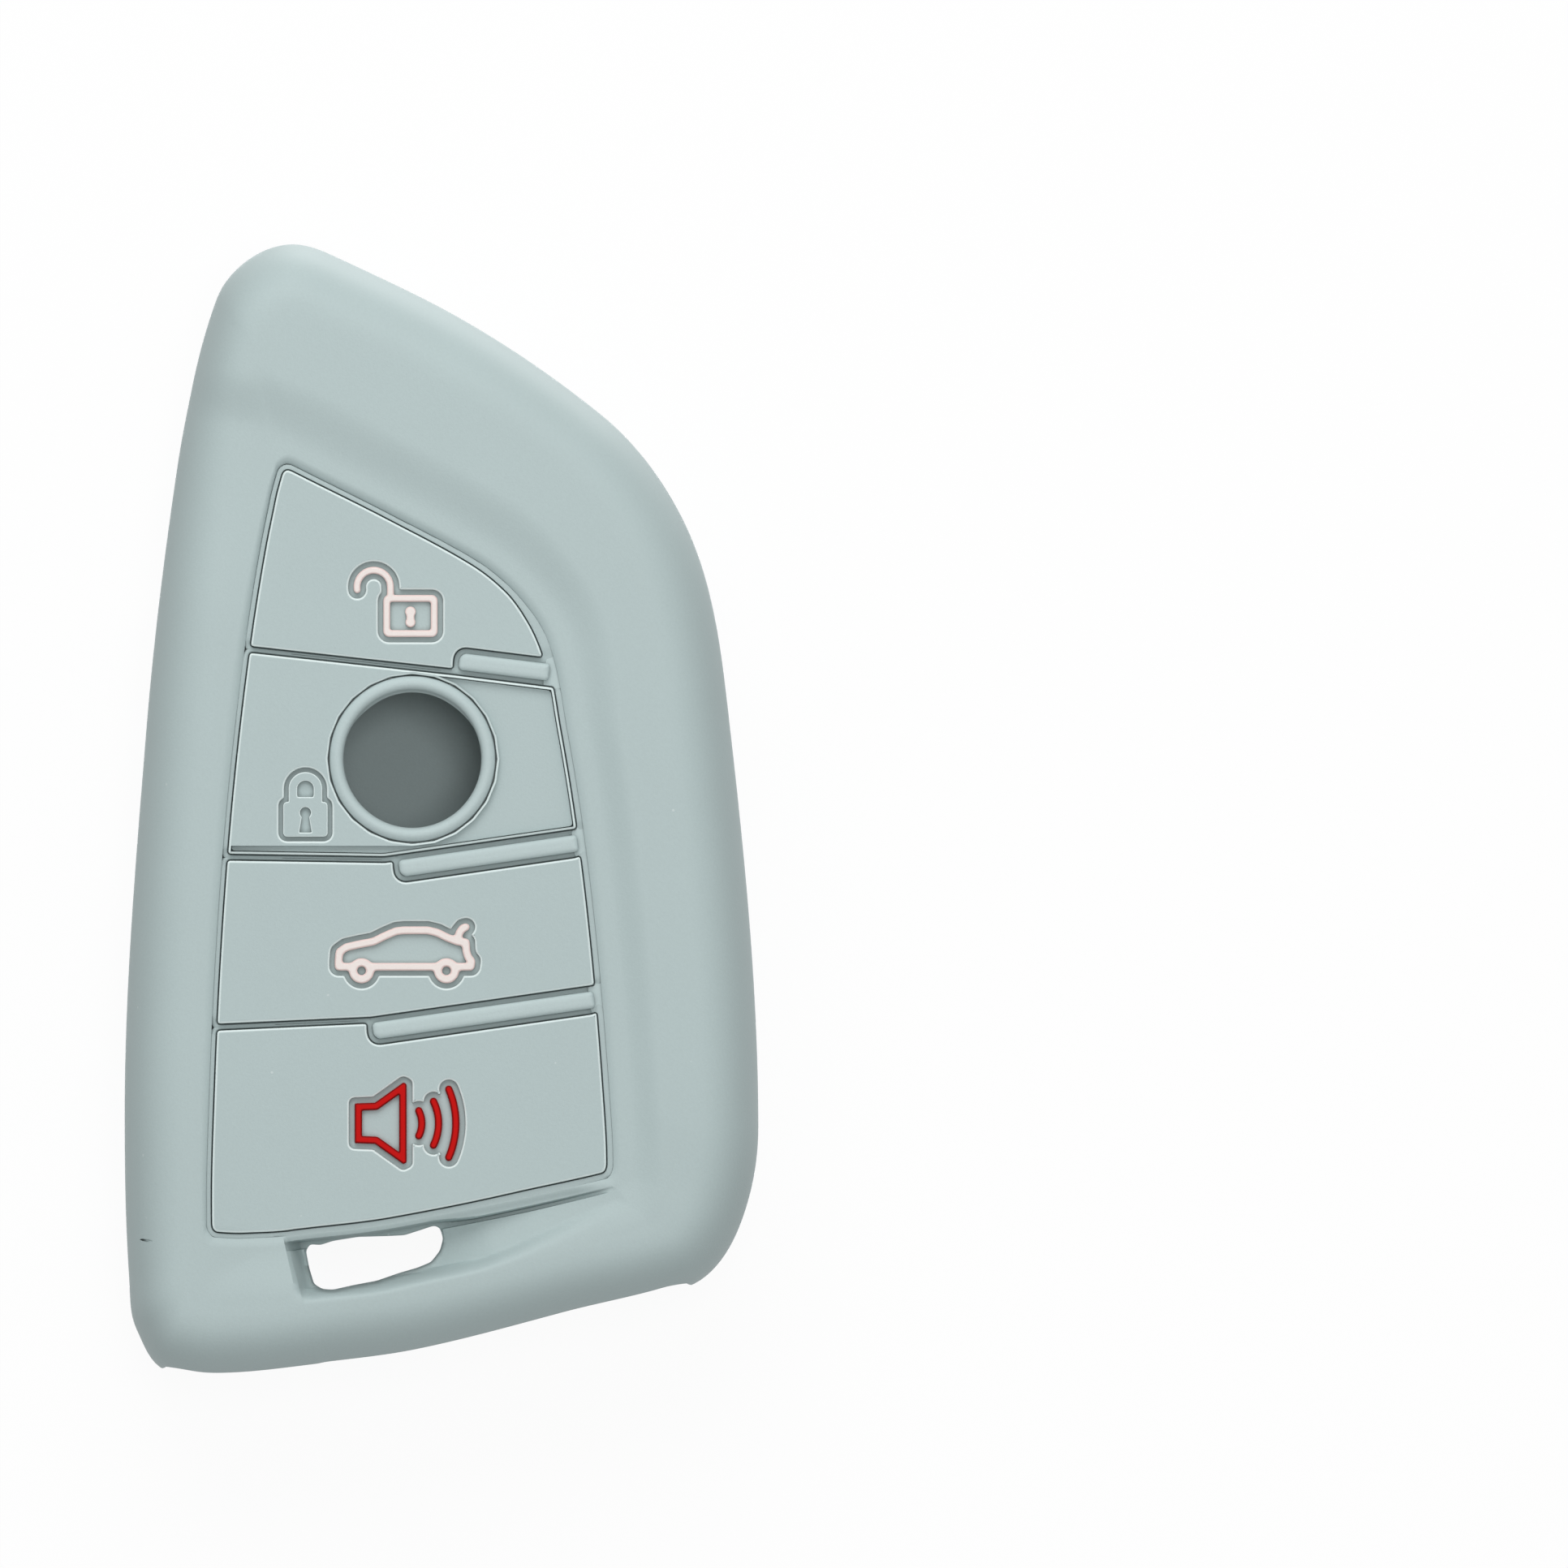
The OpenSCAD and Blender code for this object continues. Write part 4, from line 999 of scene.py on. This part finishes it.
pad_edges = []
for k, (name, body) in enumerate(zip(pad_names, bodies)):
    outer = max(contours(panel, pad_fields[k], edge_step, 0.12), key=len)
    pad_edges.append(outer)
    holes = [loop[::-1] for loop in pockets[k]]
    if k == 1:
        holes.append(window_hole)
    top = plate(name + "_top", [outer] + holes, plate_low, panel_z, corner)
    raise_to_crease(top, pocket_z)
    parts = [top]
    for part, inset, bore, low, high, edge in [
            ("_floor", floor_in, lip_r + 0.15, plate_low - 0.05, pocket_z, 0.02),
            ("_boss", boss_in, lip_r - 0.62, web_z, plate_low, 0.1)]:
        field = pad_fields[k] + inset
        if k == 1:
            field = np.maximum(field, -from_disc(panel, window_at, bore))
        parts.append(plate(name + part, contours(panel, field, 0.2, 0.1), low, high, edge))
    join(*parts)
    top.name = name + "_pad_cover"
    finished(top, cover_silicone, body, [name + "_button"])

# Round each button runs a thin web of the same silicone; on the real cover it flexes as
# the button is pressed. It lies high beside the frame, with a dip at the frame's foot, and
# deeper in the grooves, and it falls to a narrow crevice at the button's own edge.
web_names = [name + "_web" for name in pad_names]
gutter_high, groove_high, dip_deep, web_shade = 16.93, 16.62, 0.1, 0.08
web_least, web_most, web_step = 0.16, 1.3, 0.02


def sample(field, at):
    where = (at - panel[0, 0]) / cell
    i, j = np.floor(where).astype(int).T
    u, v = (where - np.floor(where)).T
    return (field[i, j] * (1 - u) * (1 - v) + field[i + 1, j] * u * (1 - v)
            + field[i, j + 1] * (1 - u) * v + field[i + 1, j + 1] * u * v)


for k, (name, body) in enumerate(zip(web_names, bodies)):
    edge = pad_edges[k]
    out = outward(edge)
    beside = np.full(to_frame.shape, 9.0)
    for j in (k - 1, k):
        if 0 <= j < 3:
            half = to_sides[j] + 0.03 if j == k else 0.03 - to_sides[j]
            if straight_side[j] == (1 if j == k else -1):
                half = np.maximum(half, 0.3 - to_bars[j])
            beside = np.minimum(beside, half)
    walls = np.minimum(to_frame + 0.05, np.minimum.reduce(to_bars) + 0.06)
    room = np.minimum(walls, beside)
    width, high, dip = (np.full(len(edge), v) for v in (0.2, gutter_high, 0.0))
    going = np.ones(len(edge), bool)
    for t in np.arange(web_least, web_most, web_step):
        at = edge + out * t
        going &= sample(room, at) > 0
        width[going] = t
        high[going] = np.where(sample(to_frame + 0.05, at) <= sample(room, at) + 0.001,
                               gutter_high, groove_high)[going]
        dip[going] = (sample(walls, at) <= sample(beside, at))[going]
    width = np.maximum(smooth_round(width, edge_step, 0.1), web_least)
    high = smooth_round(high, edge_step, 0.3)
    dip = dip_deep * smooth_round(dip, edge_step, 0.2)
    by_frame = np.clip((high - groove_high) / (gutter_high - groove_high), 0, 1)
    below = ease(-5 * out[:, 1] - 3.5) * ease(edge[:, 0] + 13) * (k == 3)
    dip *= 1 + by_frame * (1.6 * np.maximum(out[:, 1], 0) + 0.8 * np.maximum(out[:, 0], 0))
    dip *= 1 - below
    fall = 0.05 * below
    lifted = crease(*edge.T)
    rows = []
    for share, t, low, dipped, z in [
            (1, 0, 0, 1, 0), (1, -0.05, 0.0, 0.2, 0), (0.55, 0, 0, 0, 0),
            (0, 0.12, 0.01, 0, 0), (0, 0.07, 0.08, 0, 0), (0, 0.04, 0, 0, 16.48),
            (0, 0, 0, 0, 16.4), (0, -0.14, 0, 0, 16.36), (0, -0.14, 0, 0, 16.15),
            (0.5, 0, 0.3, 0, 0), (1, 0, 0.04, 1, 0)]:
        at = edge + out * (width * share + t)[:, None]
        rows.append(ring(at, z if z else high - low - dip * dipped - fall * share + lifted))
    web = drawn_out(name + "_cover", rows, closed=True)
    # Painted shade: the whole web is a little darker, as it lies low in the grooves.
    paint_shade(web, np.full(len(web.data.vertices), web_shade))
    finished(web, cover_silicone, None, [name], 50)
    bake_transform(web)

# Three accent bars stand a little proud in the grooves between the buttons. They are
# moulded with the frame. Their corners are rounder on the side that bulges into a button.
bar_names = ["upper_accent_bar", "middle_accent_bar", "lower_accent_bar"]
bar_top, bar_look_w = 17.4, 1.31
for k, (name, (a, b), side) in enumerate(zip(bar_names, bar_ends, straight_side)):
    way = unit(b - a)
    across = np.array([-way[1], way[0]])
    far = np.linalg.norm(b - a)
    rounds = {side: 0.37, -side: 0.6}
    rows = []
    for inset, z in [(0, 16.4), (0, 17.1), (0.03, 17.2), (0.09, 17.28), (0.17, 17.34),
                     (0.27, 17.375), (0.38, 17.393), (0.5, bar_top)]:
        loop = []
        for x, y, r, turn in [(far, 1, 0.3, 0), (-bar_look_w / 2, 1, rounds[1], 90),
                              (-bar_look_w / 2, -1, rounds[-1], 180), (far, -1, 0.3, 270)]:
            r = max(r, inset + 0.04)
            centre = [x - r if x > 0 else x + r, y * (bar_look_w / 2 - r)]
            t = np.radians(np.arange(0, 91, 10) + turn)
            loop.append(np.array(centre) + (r - inset) * np.c_[np.cos(t), np.sin(t)])
        loop = np.vstack(loop)
        rows.append(ring(a + loop[:, :1] * way + loop[:, 1:] * across, z))
    bar = drawn_out(name + "_cover", rows)
    past_end = np.maximum.reduce([
        to_bars[k] - 1.3, -0.05 - to_frame, 0.1 - pad_fields[k], 0.1 - pad_fields[k + 1],
        (b - panel) @ way - 0.35])
    apron = plate("apron", contours(panel, past_end, edge_step, 0.05), 16.3, 16.78, 0.06)
    join(bar, apron)
    # The bars take the lighter copy of the silicone, which is painted light.
    finished(bar, painted_light_silicone, "sleeve", [name], 50)

# A rounded lip rings the round window in the lock button, where the fob's own emblem
# shows. It is one with the button, past a hair-thin crease, and its bore is a little
# untrue at the top, as soft mouldings are.
t = np.linspace(0, 2 * math.pi, 128, endpoint=False)
sag = 0.18 * ease((np.sin(t) - 0.35) / 0.5)
profile = [(6.39, plate_low, 0), (6.39, 16.98, 0), (6.37, 17.12, 0), (6.31, 17.25, 0),
           (6.19, 17.37, 0), (6.03, 17.46, 0), (5.85, 17.5, 0), (5.68, 17.47, 0),
           (5.52, 17.38, 0), (5.4, 17.24, 0), (5.33, 17.06, 0), (window_r, 16.85, 0),
           (window_r, 16.6, 0), (window_r, plate_low, 1), (5.31, 15.9, 1), (5.33, web_z, 1),
           (5.7, web_z, 0), (5.7, plate_low, 0)]
rows = [ring(window_at + (r - low * sag)[:, None] * np.c_[np.cos(t), np.sin(t)], z)
        for r, z, low in profile]
lip = drawn_out("window_lip", rows, closed=True)
# The lip takes the lighter copy of the silicone, which is painted light.
finished(lip, painted_light_silicone, "lock_pad", ["emblem_ring"], 60)

# The symbols: pale silicone poured into the unlock and trunk pockets, red into the
# panic pocket, each nearly flush with rounded edges. The closed padlock has no fill: it
# is a raised island of the button's own silicone.
symbol_low = 16.7
# The fills' edge colours are painted shade on their rounded edges: darker with a pink tint on the
# pale fill, darker on the red.
pale_silicone = silicone("pale_silicone", (0.84, 0.765, 0.73), 0.5, 0.0, (0.8, 0.62, 0.59))
red_silicone = silicone("red_silicone", (0.55, 0.006, 0.005), 0.55, 0.0, (0.22, 0.004, 0.004),
                        sheen=0.06)
own, pale, red = ((cover_silicone, "silicone"), (pale_silicone, "pale_fill"),
                  (red_silicone, "red_fill"))
symbols = [("unlock_padlock", unlock_at, 5, unlock_field, pale, "unlock_pad", 17.18, 0.14, 0.05),
           ("unlock_keyhole", unlock_at, 2, keyhole_field, pale, "unlock_pad", 17.08, 0.12, 0.035),
           ("lock_padlock", lock_at, 6, lambda g: lock_field(g, False), own, "lock_pad",
            17.2, 0.1, 0.035),
           ("trunk_car", car_at, 8, lambda g: car_field(g, False), pale, "trunk_pad",
            17.18, 0.15, 0.13),
           ("horn", horn_at, 5, lambda g: horn_field(g, False), red, "panic_pad",
            17.17, 0.15, 0.035)]
symbols += [(name, horn_at, 8, lambda g, k=k: wave_field(g, k), red, "panic_pad",
             17.17, 0.16, 0.035)
            for k, name in enumerate(["near_sound_wave", "middle_sound_wave", "far_sound_wave"])]
for name, at, span, field, (material, slot), body, high, edge, blur in symbols:
    symbol = plate(name + "_fill", outlines(field, at, span, 0.07, blur), symbol_low, high, edge)
    finished(symbol, material, body, [name], 50)
